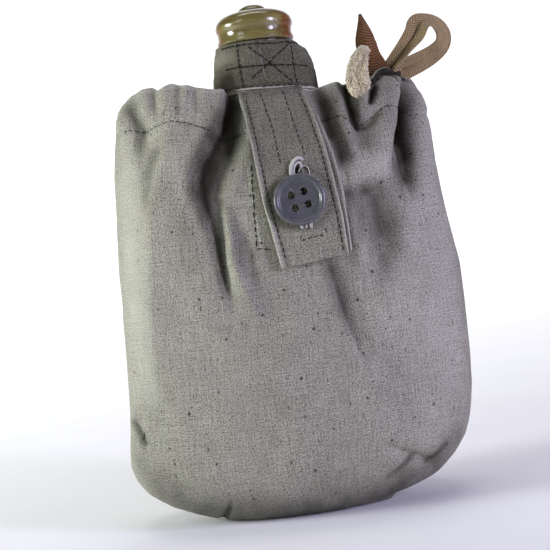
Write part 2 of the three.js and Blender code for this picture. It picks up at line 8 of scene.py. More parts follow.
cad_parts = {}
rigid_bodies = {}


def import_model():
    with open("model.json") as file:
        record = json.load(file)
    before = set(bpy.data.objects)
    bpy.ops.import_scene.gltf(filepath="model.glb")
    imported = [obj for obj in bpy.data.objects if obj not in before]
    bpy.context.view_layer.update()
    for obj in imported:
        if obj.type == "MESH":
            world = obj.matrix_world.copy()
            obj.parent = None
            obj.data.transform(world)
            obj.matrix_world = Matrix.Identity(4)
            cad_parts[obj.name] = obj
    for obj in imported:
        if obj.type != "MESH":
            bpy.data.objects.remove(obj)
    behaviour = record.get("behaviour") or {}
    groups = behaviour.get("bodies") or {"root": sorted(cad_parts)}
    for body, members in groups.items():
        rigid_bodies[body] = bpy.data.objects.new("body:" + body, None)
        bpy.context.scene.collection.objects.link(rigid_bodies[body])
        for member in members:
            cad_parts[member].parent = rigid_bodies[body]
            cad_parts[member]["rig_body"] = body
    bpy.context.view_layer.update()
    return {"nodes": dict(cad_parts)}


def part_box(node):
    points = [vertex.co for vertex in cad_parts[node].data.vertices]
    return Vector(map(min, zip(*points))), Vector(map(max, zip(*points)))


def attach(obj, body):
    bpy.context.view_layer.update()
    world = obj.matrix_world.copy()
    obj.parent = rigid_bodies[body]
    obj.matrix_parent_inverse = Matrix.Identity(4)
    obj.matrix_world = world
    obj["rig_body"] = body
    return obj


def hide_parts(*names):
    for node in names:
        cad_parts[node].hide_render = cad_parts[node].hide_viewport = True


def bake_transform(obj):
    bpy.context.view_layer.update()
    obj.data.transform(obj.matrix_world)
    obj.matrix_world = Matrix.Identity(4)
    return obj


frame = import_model()
nodes = frame["nodes"]
MM = 0.001
scene = bpy.context.scene
scene.view_settings.view_transform = "Standard"
scene.view_settings.look = "None"


# ---- numbers ------------------------------------------------------------------------------------
def sstep(a, b, x):
    t = np.clip((np.asarray(x, float) - a) / (b - a), 0, 1)
    return t * t * (3 - 2 * t)


def smooth_table(pairs, lo, hi, step=0.25, blur=3.0):
    """A table of (key, value) as a smooth function."""
    k = np.arange(lo - 20, hi + 20, step)
    v = np.interp(k, [p[0] for p in pairs], [p[1] for p in pairs])
    n = int(blur / step)
    w = np.hanning(2 * n + 3)
    w /= w.sum()
    v = np.convolve(np.pad(v, n + 1, mode="edge"), w, mode="valid")
    return lambda x: np.interp(x, k, v)


def value_noise(seed):
    table = np.random.default_rng(seed).random((64, 64)) * 2 - 1

    def at(u, v):
        u, v = np.asarray(u, float), np.asarray(v, float)
        i, j = np.floor(u).astype(int), np.floor(v).astype(int)
        f, g = u - i, v - j
        f, g = f * f * f * (f * (f * 6 - 15) + 10), g * g * g * (g * (g * 6 - 15) + 10)
        t = lambda a, b: table[a % 64, b % 64]
        return (t(i, j) * (1 - f) + t(i + 1, j) * f) * (1 - g) + (t(i, j + 1) * (1 - f) + t(i + 1, j + 1) * f) * g

    return at


# ---- meshes -------------------------------------------------------------------------------------
def grid_faces(rows, cols, wrap=False):
    r = np.arange(rows - 1)[:, None]
    c = np.arange(cols if wrap else cols - 1)[None, :]
    c1 = (c + 1) % cols
    f = np.stack([r * cols + c, r * cols + c1, (r + 1) * cols + c1, (r + 1) * cols + c], -1)
    return f.reshape(-1, 4)


def bend_between(o):
    """Cloth sewn across a joint: taken off its body and left fixed where it is."""
    o.parent = None
    o.matrix_world = Matrix.Identity(4)
    if "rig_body" in o:
        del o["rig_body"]
    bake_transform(o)


def make(name, verts, faces, body, mat, weave=None, shading_and_soil=None):
    """A piece from millimetre vertices; weave is each vertex's place on the flat cloth, in mm."""
    verts = np.asarray(verts, float).reshape(-1, 3)
    me = bpy.data.meshes.new(name)
    me.from_pydata((verts * MM).tolist(), [], [list(map(int, f)) for f in faces])
    if weave is not None:
        a = me.attributes.new("weave", "FLOAT_VECTOR", "POINT")
        w = np.zeros((len(verts), 3), np.float32)
        w[:, : np.asarray(weave).reshape(len(verts), -1).shape[1]] = np.asarray(weave).reshape(len(verts), -1)
        a.data.foreach_set("vector", (w).ravel())
    b = me.attributes.new("shading_and_soil", "FLOAT", "POINT")
    b.data.foreach_set("value", np.zeros(len(verts), np.float32) if shading_and_soil is None else np.asarray(shading_and_soil, np.float32).ravel())
    me.polygons.foreach_set("use_smooth", [True] * len(me.polygons))
    me.validate()
    me.update()
    o = bpy.data.objects.new(name, me)
    scene.collection.objects.link(o)
    if mat is not None:
        me.materials.append(mat)
    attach(o, body)
    return o


def thicken(o, t, offset=-1.0, subdivide=0):
    m = o.modifiers.new("thickness", "SOLIDIFY")
    m.thickness = t * MM
    m.offset = offset
    m.use_rim = True
    if subdivide:
        s = o.modifiers.new("soften", "SUBSURF")
        s.levels = s.render_levels = subdivide
    return o


def normals_of(P):
    """Normals of a grid of points (rows, cols, 3)."""
    du = np.gradient(P, axis=1)
    dv = np.gradient(P, axis=0)
    n = np.cross(du, dv)
    return n / np.maximum(np.linalg.norm(n, axis=-1, keepdims=True), 1e-9)


def sweep(name, path, radius, body, mat, sides=8, slot=None, closed=False):
    """A round thread along millimetre points."""
    P = np.asarray(path, float)
    T = np.gradient(P, axis=0)
    T /= np.maximum(np.linalg.norm(T, axis=1, keepdims=True), 1e-9)
    ref = np.array([0.13, 0.2, 0.97])
    A = np.cross(T, ref)
    A /= np.linalg.norm(A, axis=1, keepdims=True)
    B = np.cross(T, A)
    r = np.broadcast_to(np.asarray(radius, float), (len(P),))
    ang = np.linspace(0, 2 * np.pi, sides, endpoint=False)
    V = P[:, None] + r[:, None, None] * (np.cos(ang)[None, :, None] * A[:, None] + np.sin(ang)[None, :, None] * B[:, None])
    n = len(P)
    F = [list(f) for f in grid_faces(n, sides, wrap=True)]
    F += [list(range(sides))[::-1], [(n - 1) * sides + i for i in range(sides)]]
    return V.reshape(-1, 3), F


def stitch_mesh(name, lines, body, mat, length=2.3, gap=0.55, r=0.26, seed=3, wander=0.0):
    """Rows of stitches. Each line is (points, normals) in mm, close together along the seam."""
    rnd = np.random.default_rng(seed)
    V, F, base = [], [], 0
    for pts, nrm in lines:
        pts, nrm = np.asarray(pts, float), np.asarray(nrm, float)
        s = np.r_[0, np.cumsum(np.linalg.norm(np.diff(pts, axis=0), axis=1))]
        at = 0.3
        while at + length * 0.6 < s[-1]:
            ln = length * (1 + 0.12 * rnd.standard_normal())
            q = np.linspace(at, min(at + ln, s[-1]), 7)
            C = np.stack([np.interp(q, s, pts[:, i]) for i in range(3)], -1)
            N = np.stack([np.interp(q, s, nrm[:, i]) for i in range(3)], -1)
            N /= np.linalg.norm(N, axis=1, keepdims=True)
            T = np.gradient(C, axis=0)
            T /= np.maximum(np.linalg.norm(T, axis=1, keepdims=True), 1e-9)
            B = np.cross(T, N)
            k = np.linspace(-1, 1, 7)
            lift = (1 - k**4) * r * 0.9 - r * 0.55
            side = wander * rnd.standard_normal() * B
            C = C + N * lift[:, None] + side
            rad = r * np.sqrt(np.clip(1.06 - k**6, 0.05, 1))
            ang = np.linspace(0, 2 * np.pi, 6, endpoint=False)
            ring = C[:, None] + rad[:, None, None] * (np.cos(ang)[None, :, None] * B[:, None] + 0.8 * np.sin(ang)[None, :, None] * N[:, None])
            V.append(ring.reshape(-1, 3))
            F += [[base + int(i) for i in f] for f in grid_faces(7, 6, wrap=True)]
            F += [[base + i for i in range(6)][::-1], [base + 36 + i for i in range(6)]]
            base += 42
            at += ln + gap
    return make(name, np.concatenate(V), F, body, mat)


# ---- materials ----------------------------------------------------------------------------------
class Nodes:
    """Short names for building a material."""

    def __init__(self, name):
        self.mat = bpy.data.materials.new(name)
        self.mat.use_nodes = True
        self.t = self.mat.node_tree
        self.t.nodes.clear()
        self.out = self.t.nodes.new("ShaderNodeOutputMaterial")
        self.bsdf = self.t.nodes.new("ShaderNodeBsdfPrincipled")
        self.t.links.new(self.bsdf.outputs[0], self.out.inputs[0])

    def put(self, socket, value):
        if isinstance(value, bpy.types.NodeSocket):
            self.t.links.new(value, socket)
        elif value is not None:
            socket.default_value = value
        return socket

    def math(self, op, a, b=None, c=None, clamp=False):
        n = self.t.nodes.new("ShaderNodeMath")
        n.operation = op
        n.use_clamp = clamp
        for i, v in enumerate((a, b, c)):
            if v is not None:
                self.put(n.inputs[i], v)
        return n.outputs[0]

    def vec(self, kind="object"):
        if kind == "weave":
            n = self.t.nodes.new("ShaderNodeAttribute")
            n.attribute_type = "GEOMETRY"
            n.attribute_name = "weave"
            return n.outputs["Vector"]
        n = self.t.nodes.new("ShaderNodeTexCoord")
        m = self.t.nodes.new("ShaderNodeVectorMath")
        m.operation = "SCALE"
        self.t.links.new(n.outputs["Object"], m.inputs[0])
        m.inputs["Scale"].default_value = 1000
        return m.outputs[0]

    def scaled(self, v, s, rot=0.0):
        n = self.t.nodes.new("ShaderNodeMapping")
        self.t.links.new(v, n.inputs["Vector"])
        n.inputs["Scale"].default_value = s
        n.inputs["Rotation"].default_value = (0, 0, rot)
        return n.outputs[0]

    def noise(self, v, scale, detail=2.0, rough=0.5, distort=0.0):
        n = self.t.nodes.new("ShaderNodeTexNoise")
        self.t.links.new(v, n.inputs["Vector"])
        n.inputs["Scale"].default_value = scale
        n.inputs["Detail"].default_value = detail
        n.inputs["Roughness"].default_value = rough
        n.inputs["Distortion"].default_value = distort
        return n.outputs[0]

    def wave(self, v, period, axis="X", distort=0.0, profile="SIN"):
        n = self.t.nodes.new("ShaderNodeTexWave")
        n.wave_type = "BANDS"
        n.bands_direction = axis
        n.wave_profile = profile
        self.t.links.new(v, n.inputs["Vector"])
        n.inputs["Scale"].default_value = 0.31416 / period
        n.inputs["Distortion"].default_value = distort
        n.inputs["Detail"].default_value = 0
        return n.outputs["Fac"]

    def range(self, v, a, b, c, d, smooth=False):
        n = self.t.nodes.new("ShaderNodeMapRange")
        n.interpolation_type = "SMOOTHSTEP" if smooth else "LINEAR"
        self.put(n.inputs["Value"], v)
        for k, x in zip(("From Min", "From Max", "To Min", "To Max"), (a, b, c, d)):
            n.inputs[k].default_value = x
        return n.outputs[0]

    def mix(self, f, a, b, mode="MIX"):
        n = self.t.nodes.new("ShaderNodeMix")
        n.data_type = "RGBA"
        n.blend_type = mode
        self.put(n.inputs["Factor"], f)
        for key, v in (("A", a), ("B", b)):
            s = [i for i in n.inputs if i.name == key and i.type == "RGBA"][0]
            self.put(s, (*v, 1.0) if isinstance(v, tuple) and len(v) == 3 else v)
        return [o for o in n.outputs if o.type == "RGBA"][0]

    def bump(self, height, strength, distance):
        n = self.t.nodes.new("ShaderNodeBump")
        n.inputs["Strength"].default_value = strength
        n.inputs["Distance"].default_value = distance
        self.put(n.inputs["Height"], height)
        self.t.links.new(n.outputs[0], self.bsdf.inputs["Normal"])
        return n

    def gray(self, v):
        n = self.t.nodes.new("ShaderNodeCombineColor")
        for i in range(3):
            self.put(n.inputs[i], v)
        return n.outputs[0]


def canvas(name, light, dark, pitch=0.62, fleck=True, grain=0.40, bump=0.8, blotch=0.10, painted_shading=None):
    """Plain-woven slubby canvas: light and dark yarn colours, fine grain, streaks and dark flecks."""
    m = Nodes(name)
    v = m.vec("weave")
    v = m.scaled(v, (1, 1, 1))
    wx = m.wave(v, pitch, "X", 0.4)
    wy = m.wave(v, pitch * 1.08, "Y", 0.4)
    over = m.math("MULTIPLY", wx, wy)
    cross = m.math("ADD", m.math("MULTIPLY", over, 0.6), m.math("MULTIPLY", m.math("ADD", wx, wy), 0.25))
    fine = m.noise(v, 1.55, 3.0, 0.8)
    streak_u = m.noise(m.scaled(v, (2.2, 0.09, 1)), 1.0, 2.0, 0.6)
    streak_v = m.noise(m.scaled(v, (0.07, 2.0, 1)), 1.0, 2.0, 0.6)
    big = m.noise(v, 0.028, 3.0, 0.6)
    mid = m.noise(v, 0.16, 2.0, 0.6)
    f = m.range(fine, 0.28, 0.72, 0.5 - grain * 2.0, 0.5 + grain * 2.0)
    f = m.math("ADD", f, m.math("MULTIPLY", m.math("SUBTRACT", streak_u, 0.5), 1.0))
    f = m.math("ADD", f, m.math("MULTIPLY", m.math("SUBTRACT", streak_v, 0.5), 0.7))
    f = m.math("ADD", f, m.math("MULTIPLY", m.math("SUBTRACT", over, 0.25), 0.35), clamp=True)
    c = m.mix(f, dark, light)
    tone = m.math("ADD", m.range(big, 0.3, 0.7, 1 - blotch, 1 + blotch), m.math("MULTIPLY", m.math("SUBTRACT", mid, 0.5), blotch * 1.6))
    c = m.mix(1.0, c, m.gray(tone), "MULTIPLY")
    if fleck:
        for scale, share, least, most, wobble, squash, strong, turn in ((0.105, 0.55, 0.02, 0.085, 0.10, 1.0, 0.92, 0.0), (0.30, 0.62, 0.05, 0.13, 0.16, 1.5, 0.85, 0.4), (0.20, 0.74, 0.03, 0.09, 0.10, 0.35, 0.75, 0.1)):
            w = m.t.nodes.new("ShaderNodeTexVoronoi")
            w.voronoi_dimensions = "2D"
            m.t.links.new(m.scaled(v, (1.0, squash, 1), turn), w.inputs["Vector"])
            w.inputs["Scale"].default_value = scale
            w.inputs["Randomness"].default_value = 1.0
            sep = m.t.nodes.new("ShaderNodeSeparateColor")
            m.t.links.new(w.outputs["Color"], sep.inputs[0])
            pick = m.range(sep.outputs[0], share, share + 0.03, 0, 1)
            size = m.range(sep.outputs[1], 0, 1, least, most)
            wob = m.math("ADD", w.outputs["Distance"], m.math("MULTIPLY", m.math("SUBTRACT", m.noise(v, 1.9, 1.0), 0.5), wobble))
            spot = m.math("SUBTRACT", 1.0, m.math("DIVIDE", wob, size), clamp=True)
            spot = m.math("MULTIPLY", m.range(spot, 0.0, 0.4, 0, strong), pick)
            c = m.mix(spot, c, (0.035, 0.032, 0.026))
    # painted shade and light carried per point: positive values darken the cloth, negative ones lighten it
    shading_and_soil = m.t.nodes.new("ShaderNodeAttribute")
    shading_and_soil.attribute_type = "GEOMETRY"
    shading_and_soil.attribute_name = "shading_and_soil"
    c = m.mix(m.math("MULTIPLY", shading_and_soil.outputs["Fac"], 0.97, clamp=True), c, (0.017, 0.015, 0.007))
    c = m.mix(m.math("MULTIPLY", shading_and_soil.outputs["Fac"], -1.0, clamp=True), c, (0.66, 0.65, 0.55))
    # painted shade: the cloth darker towards the top, where the strap lies in the shadow of the lobe and the collar
    if painted_shading:
        sep2 = m.t.nodes.new("ShaderNodeSeparateXYZ")
        m.t.links.new(v, sep2.inputs[0])
        g = m.math("ADD", sep2.outputs[1], m.math("MULTIPLY", m.math("SUBTRACT", big, 0.5), 16.0))
        c = m.mix(1.0, c, m.gray(m.range(g, painted_shading[0], painted_shading[1], 1.0, painted_shading[2], True)), "MULTIPLY")
    m.put(m.bsdf.inputs["Base Color"], c)
    m.bsdf.inputs["Roughness"].default_value = 0.93
    m.bsdf.inputs["Specular IOR Level"].default_value = 0.22
    m.bsdf.inputs["Sheen Weight"].default_value = 0.04
    m.bsdf.inputs["Sheen Roughness"].default_value = 0.6
    h = m.math("ADD", m.math("MULTIPLY", cross, 0.55), m.math("MULTIPLY", fine, 0.9))
    h = m.math("ADD", h, m.math("MULTIPLY", streak_u, 0.5))
    m.bump(h, bump, 0.00022)
    return m.mat


def herringbone(name, light, dark, width=10.0, pitch=0.95, bump=0.8, fray=0.0, arc=0.0):
    """Herringbone tape: ribs that slant one way on one half of its width and back on the other."""
    m = Nodes(name)
    v = m.vec("weave")
    sep = m.t.nodes.new("ShaderNodeSeparateXYZ")
    m.t.links.new(v, sep.inputs[0])
    u, w = sep.outputs[0], sep.outputs[1]
    zig = m.math("PINGPONG", m.math("ADD", u, width * 4), width / 4)
    if arc:
        zig = m.math("MULTIPLY", m.math("POWER", m.math("ADD", u, 2.0), 2.0), -arc)
    along = m.math("ADD", m.math("MULTIPLY", w, 1.0), m.math("MULTIPLY", zig, 0.9))
    rib = m.math("SINE", m.math("MULTIPLY", along, 2 * math.pi / pitch))
    rib = m.range(rib, -1, 1, 0, 1)
    yarn = m.math("SINE", m.math("MULTIPLY", u, 2 * math.pi / 0.55))
    fine = m.noise(v, 1.9, 3.0, 0.7)
    patch = m.noise(v, 0.09, 2.0, 0.6)
    f = m.math("ADD", m.math("MULTIPLY", rib, 0.6), m.math("MULTIPLY", m.math("SUBTRACT", fine, 0.3), 0.9 + fray), clamp=True)
    c = m.mix(f, dark, light)
    c = m.mix(1.0, c, m.gray(m.range(patch, 0.3, 0.7, 0.78, 1.2)), "MULTIPLY")
    # painted shade along the tape's creases, carried per point
    shading_and_soil = m.t.nodes.new("ShaderNodeAttribute")
    shading_and_soil.attribute_type = "GEOMETRY"
    shading_and_soil.attribute_name = "shading_and_soil"
    c = m.mix(m.math("MULTIPLY", shading_and_soil.outputs["Fac"], 0.9, clamp=True), c, (0.012, 0.009, 0.005))
    m.put(m.bsdf.inputs["Base Color"], c)
    m.bsdf.inputs["Roughness"].default_value = 0.9
    m.bsdf.inputs["Specular IOR Level"].default_value = 0.25
    m.bsdf.inputs["Sheen Weight"].default_value = 0.1
    h = m.math("ADD", rib, m.math("MULTIPLY", yarn, 0.12))
    h = m.math("ADD", h, m.math("MULTIPLY", fine, 0.8 + 2 * fray))
    m.bump(h, bump, 0.0003)
    return m.mat


def thread_mat(name, light, dark, rough=0.7):
    m = Nodes(name)
    v = m.vec()
    twist = m.wave(m.scaled(v, (1, 1, 1), 0.8), 0.5, "DIAGONAL", 1.0)
    n = m.noise(v, 1.2, 2.0, 0.6)
    c = m.mix(m.math("MULTIPLY", m.math("ADD", twist, n), 0.5), dark, light)
    m.put(m.bsdf.inputs["Base Color"], c)
    m.bsdf.inputs["Roughness"].default_value = rough
    m.bsdf.inputs["Specular IOR Level"].default_value = 0.15
    m.bump(twist, 0.5, 0.0001)
    return m.mat


def enamel(name, base, deep, red=0.25, painted_sides=True):
    """Thick glossy lacquer over metal: darker in random patches, a few specks, faint orange peel, and where asked its
    sides tinted dark red-brown as painted reflection and shade.
    """
    m = Nodes(name)
    v = m.vec()
    big = m.noise(m.scaled(v, (0.35, 0.35, 2.6)), 0.16, 3.0, 0.6)
    mid = m.noise(m.scaled(v, (0.6, 0.6, 1.5)), 0.5, 3.0, 0.65)
    peel = m.noise(v, 0.9, 2.0, 0.5)
    speck = m.range(m.noise(v, 1.3, 1.0, 0.5), 0.70, 0.78, 0, 0.7)
    c = m.mix(m.range(big, 0.3, 0.7, 0, 1), base, deep)
    c = m.mix(m.range(mid, 0.35, 0.7, 0, red), c, (0.20, 0.075, 0.022))
    c = m.mix(speck, c, (0.035, 0.025, 0.012))
    sx = m.t.nodes.new("ShaderNodeSeparateXYZ")
    m.t.links.new(v, sx.inputs[0])
    side = m.math("ADD", sx.outputs[0], m.math("MULTIPLY", m.math("SUBTRACT", mid, 0.5), 9.0))
    # painted reflection and shade: the right and left sides tinted dark red-brown
    if painted_sides:
        c = m.mix(m.range(side, 9.5, 14.0, 0, 0.9, True), c, (0.150, 0.038, 0.012))
        c = m.mix(m.range(side, -12.0, -17.5, 0, 0.6, True), c, (0.17, 0.062, 0.025))
    m.put(m.bsdf.inputs["Base Color"], c)
    m.put(m.bsdf.inputs["Roughness"], m.range(mid, 0.3, 0.7, 0.12, 0.22))
    m.bsdf.inputs["Specular IOR Level"].default_value = 0.42
    m.bsdf.inputs["Coat Weight"].default_value = 0.30
    m.bsdf.inputs["Coat Roughness"].default_value = 0.08
    m.bump(m.math("ADD", peel, m.math("MULTIPLY", big, 0.8)), 0.35, 0.0003)
    return m.mat


def plastic(name):
    m = Nodes(name)
    v = m.vec()
    turn = m.noise(m.scaled(v, (0.35, 0.35, 0.35)), 1.0, 2.0, 0.5)
    n = m.noise(v, 1.1, 3.0, 0.6)
    c = m.mix(m.range(turn, 0.3, 0.7, 0, 1), (0.072, 0.074, 0.077), (0.100, 0.102, 0.107))
    c = m.mix(m.range(n, 0.62, 0.74, 0, 0.2), c, (0.16, 0.16, 0.18))
    m.put(m.bsdf.inputs["Base Color"], c)
    m.put(m.bsdf.inputs["Roughness"], m.range(n, 0.3, 0.7, 0.17, 0.30))
    m.bsdf.inputs["Specular IOR Level"].default_value = 0.65
    m.bump(n, 0.15, 0.0001)
    return m.mat


M_CANVAS = canvas("canvas_cloth", (0.455, 0.445, 0.362), (0.115, 0.110, 0.082))
M_BACK = canvas("canvas_back", (0.455, 0.445, 0.362), (0.115, 0.110, 0.082))
# the strap's cloth is given painted shade, darker towards its top
M_STRAP = canvas("canvas_strap", (0.385, 0.375, 0.288), (0.085, 0.080, 0.054), fleck=False, blotch=0.14, painted_shading=(116, 166, 0.60))
M_COLLAR = canvas("canvas_collar", (0.170, 0.161, 0.110), (0.030, 0.028, 0.016), fleck=False, blotch=0.24)
M_TAPE = herringbone("tape_herringbone", (0.470, 0.350, 0.172), (0.085, 0.056, 0.023), pitch=1.1)
# painted shade: a darker copy of the tape for the upright tail, which stands in shade
M_TAPE_SHADED = herringbone("tape_shaded", (0.255, 0.118, 0.038), (0.026, 0.012, 0.005), pitch=1.2, arc=0.09)
M_FRAY = herringbone("tape_frayed", (0.95, 0.87, 0.62), (0.27, 0.22, 0.11), pitch=1.25, bump=1.2, fray=0.6)
M_DARKTHREAD = thread_mat("thread_dark", (0.026, 0.026, 0.020), (0.005, 0.005, 0.004), 0.9)
M_PALETHREAD = thread_mat("thread_pale", (0.66, 0.65, 0.60), (0.26, 0.25, 0.22))
M_GREYTHREAD = thread_mat("thread_grey", (0.34, 0.35, 0.31), (0.12, 0.12, 0.10))
M_ENAMEL = enamel("enamel_cap", (0.225, 0.200, 0.066), (0.070, 0.062, 0.018))
M_FLASK = enamel("enamel_flask", (0.175, 0.155, 0.055), (0.125, 0.108, 0.038), red=0.15, painted_sides=False)
M_PLASTIC = plastic("button_plastic")


# ---- rigid nodes: better materials and softened edges ---------------------------------------------
def dress(node, mat, bevel=0.0002):
    o = nodes[node]
    me = o.data
    me.materials.clear()
    me.materials.append(mat)
    if "custom_normal" in me.attributes:
        me.attributes.remove(me.attributes["custom_normal"])
    if "sharp_edge" in me.attributes:
        me.attributes.remove(me.attributes["sharp_edge"])
    if "sharp_face" in me.attributes:
        me.attributes.remove(me.attributes["sharp_face"])
    me.polygons.foreach_set("use_smooth", [True] * len(me.polygons))
    w = o.modifiers.new("weld", "WELD")
    w.merge_threshold = 1e-6
    if bevel:
        b = o.modifiers.new("bevel", "BEVEL")
        b.width = bevel
        b.segments = 2
        b.limit_method = "ANGLE"
        b.angle_limit = math.radians(28)
    return o


def rubber_mat():
    m = Nodes("rubber_seal")
    n = m.noise(m.vec(), 0.8, 3.0)
    m.put(m.bsdf.inputs["Base Color"], m.mix(n, (0.02, 0.02, 0.02), (0.05, 0.048, 0.045)))
    m.bsdf.inputs["Roughness"].default_value = 0.75
    m.bump(n, 0.3, 0.0002)
    return m.mat


def metal_mat():
    m = Nodes("washer_metal")
    n = m.noise(m.scaled(m.vec(), (1, 1, 6)), 0.8, 3.0)
    m.put(m.bsdf.inputs["Base Color"], m.mix(n, (0.55, 0.55, 0.54), (0.75, 0.75, 0.74)))
    m.bsdf.inputs["Metallic"].default_value = 1.0
    m.put(m.bsdf.inputs["Roughness"], m.range(n, 0.3, 0.7, 0.3, 0.5))
    m.bump(n, 0.2, 0.0001)
    return m.mat


dress("screw_cap", M_ENAMEL, 0.0003)
dress("cap_rivet", M_ENAMEL, 0.0003)
dress("flask_body", M_FLASK, 0.0003)
dress("button", M_PLASTIC, 0.00018)
dress("cap_seal", rubber_mat(), 0.0002)
dress("seal_washer", metal_mat(), 0.0001)

# ---- the cover's shape ----------------------------------------------------------------------------
left = smooth_table([(0, 38), (2, 46), (5, 54), (8, 61), (12, 67), (16, 72), (21, 75.3), (27, 76.9), (34, 76.3), (42, 75.0), (51, 73.9), (64, 73), (81, 71.9), (98, 70.4), (111, 69.9), (128, 68.9), (141, 68), (150, 67.4), (162, 65.5), (170, 63.8), (175, 62.9), (180, 61), (187, 57)], 0, 190, blur=2.5)
right = smooth_table([(0, 32), (2, 38), (5, 47), (8, 53.5), (12, 58.5), (16, 62.8), (23, 67.7), (30, 70.2), (36, 71.6), (44, 72.9), (57, 73.7), (70, 73.9), (83, 74.1), (96, 74.0), (105, 72.7), (118, 70.9), (127, 69.9), (140, 68.9), (153, 68.8), (162, 67.8), (168, 66.5), (173, 64.9), (178, 62.3), (187, 57)], 0, 190, blur=2.5)
deep = smooth_table([(0, 15), (2, 19.5), (5, 24), (8, 27), (12, 30), (16, 32), (23, 34.4), (30, 35.6), (44, 36.7), (60, 37.1), (80, 37.3), (99, 37.2), (110, 36.8), (121, 36), (136, 34.2), (150, 30.4), (159, 26.6), (166, 23.2), (172, 20.9), (179, 19.8), (187, 19.2)], 0, 190, blur=2.0)
square = smooth_table([(0, 2.3), (40, 2.25), (100, 2.2), (136, 2.1), (150, 2.0), (190, 2.0)], 0, 190, blur=6)
flask_a = lambda z: np.interp(z, [2.4, 3.6, 8, 17, 34, 70, 112, 132, 146, 156, 162.5, 167, 171, 176, 181, 185], [35.5, 40.5, 50, 61, 67, 67.3, 66.6, 63.5, 57, 46, 34, 24, 17.2, 14.6, 13.4, 12.8])
flask_b = lambda z: np.interp(z, [2.4, 3.6, 8, 17, 34, 70, 112, 132, 146, 156, 162.5, 167, 171, 176, 181, 185], [14, 18.8, 25, 30, 32, 32.4, 32, 30.2, 27, 22.8, 19.2, 16.6, 15.2, 14.6, 13.4, 12.8])
top_front = smooth_table([(-75, 172), (-63.5, 174.5), (-61.3, 177.6), (-57.4, 182), (-52, 183.6), (-48.3, 183.9), (-44.8, 182.0), (-39.2, 184.0), (-34.7, 182.6), (-31, 182.2), (-27.8, 180.9), (-22.2, 179.3), (-19, 178.8), (-14, 178.6), (-8, 177.8), (0, 176), (15, 174.6), (20, 174.0), (24, 174.6), (28.8, 175.2), (35.7, 175.2), (39, 175.0), (42.5, 174.9), (45, 176.0), (47.1, 177.6), (49.1, 178.9), (51.5, 179.5), (53.4, 179.5), (56.1, 179.1), (57.9, 178.5), (60.9, 176.4), (62.7, 173.2), (64, 170.5), (75, 168)], -75, 75, blur=1.2)
top_back = smooth_table([(-75, 172), (-63.5, 174.5), (-61.3, 177.6), (-57, 180.5), (-50, 182.0), (-43, 180.8), (-36, 181.4), (-28, 178.8), (-20, 175), (-13, 172.8), (0, 172), (13, 172.6), (20, 174.2), (28, 176.2), (36, 175.6), (44, 177.2), (52, 178.2), (58.5, 178.3), (61.5, 176.8), (64, 172.5), (75, 168)], -75, 75, blur=1.5)
HEM = 17.0


def base_point(phi, z, side):
    """Point on the undisturbed cover. phi runs 0 at the left seam to pi at the right."""
    c, s = -np.cos(phi), np.sin(phi)
    n = square(z)
    a = np.where(c < 0, left(z), right(z))
    x = a * np.sign(c) * np.abs(c) ** (2 / n)
    y = side * deep(z) * np.abs(s) ** (2 / n)
    return x, y


def phi_of(x, z):
    n = square(z)
    a = np.where(x < 0, left(z), right(z))
    c = np.sign(x) * np.clip(np.abs(x) / a, 0, 1) ** (n / 2)
    return np.arccos(np.clip(-c, -1, 1))


def near_path(path, X, Z):
    """Signed distance to a polyline (positive on the left of its direction) and place along it."""
    P = np.asarray(path, float)[:, :2]
    best = np.full(X.shape, 1e9)
    sd = np.zeros(X.shape)
    tt = np.zeros(X.shape)
    K = len(P) - 1
    for i in range(K):
        a, b = P[i], P[i + 1]
        d = b - a
        L2 = (d**2).sum()
        t = ((X - a[0]) * d[0] + (Z - a[1]) * d[1]) / L2
        tc = np.clip(t, 0, 1)
        qx, qz = a[0] + tc * d[0], a[1] + tc * d[1]
        dist = np.hypot(X - qx, Z - qz)
        cr = d[0] * (Z - a[1]) - d[1] * (X - a[0])
        hit = dist < best
        best = np.where(hit, dist, best)
        sd = np.where(hit, np.sign(cr) * dist, sd)
        tt = np.where(hit, (i + tc) / K, tt)
    return sd, tt


def along(values, t):
    v = np.atleast_1d(np.asarray(values, float))
    return v[0] if len(v) == 1 else np.interp(t, np.linspace(0, 1, len(v)), v)


def crease(path, amp, w, w2=None, ends=(0.12, 0.18)):
    """A soft ridge (amp > 0) or valley; w on the left of the path's direction, w2 on its right."""
    w2 = w if w2 is None else w2

    def f(X, Z):
        sd, t = near_path(path, X, Z)
        ww = np.where(sd < 0, along(w2, t), along(w, t))
        g = np.exp(-((sd / ww) ** 2)) * along(amp, t)
        e = 1.0
        if ends[0]:
            e = e * (0.25 + 0.75 * sstep(0, ends[0], t))
        if ends[1]:
            e = e * (1 - 0.9 * sstep(1 - ends[1], 1, t))
        return g * e

    return f


def cliff(path, amp, w1, w2, ridge=0.0, w3=6.0, ends=(0.0, 0.2)):
    """A lip with a hollow behind it, on the left of the path's direction."""

    def f(X, Z):
        sd, t = near_path(path, X, Z)
        a, u1, u2 = along(amp, t), along(w1, t), along(w2, t)
        drop = -a * sstep(0, 1, sd / u1) * np.exp(-np.clip((sd - u1) / u2, 0, None) ** 2)
        lip = along(ridge, t) * np.exp(-((np.minimum(sd - 0.3, 0) / w3) ** 2)) * (1 - sstep(0, 1, sd / u1))
        e = 1.0
        if ends[0]:
            e = e * sstep(0, ends[0], t)
        if ends[1]:
            e = e * (1 - sstep(1 - ends[1], 1, t))
        return (drop + lip) * e

    return f


def tent(path, amp, w1, w2, ends=(0.15, 0.2)):
    """A sharp fold edge between two flat planes; w1 on the left of the path's direction."""

    def f(X, Z):
        sd, t = near_path(path, X, Z)
        ww = np.where(sd < 0, w2, w1)
        h = along(amp, t) * np.exp(-(np.sqrt(sd * sd + 0.4) - 0.63) / ww)
        e = 1.0
        if ends[0]:
            e = e * sstep(0, ends[0], t)
        if ends[1]:
            e = e * (1 - sstep(1 - ends[1], 1, t))
        return h * e

    return f


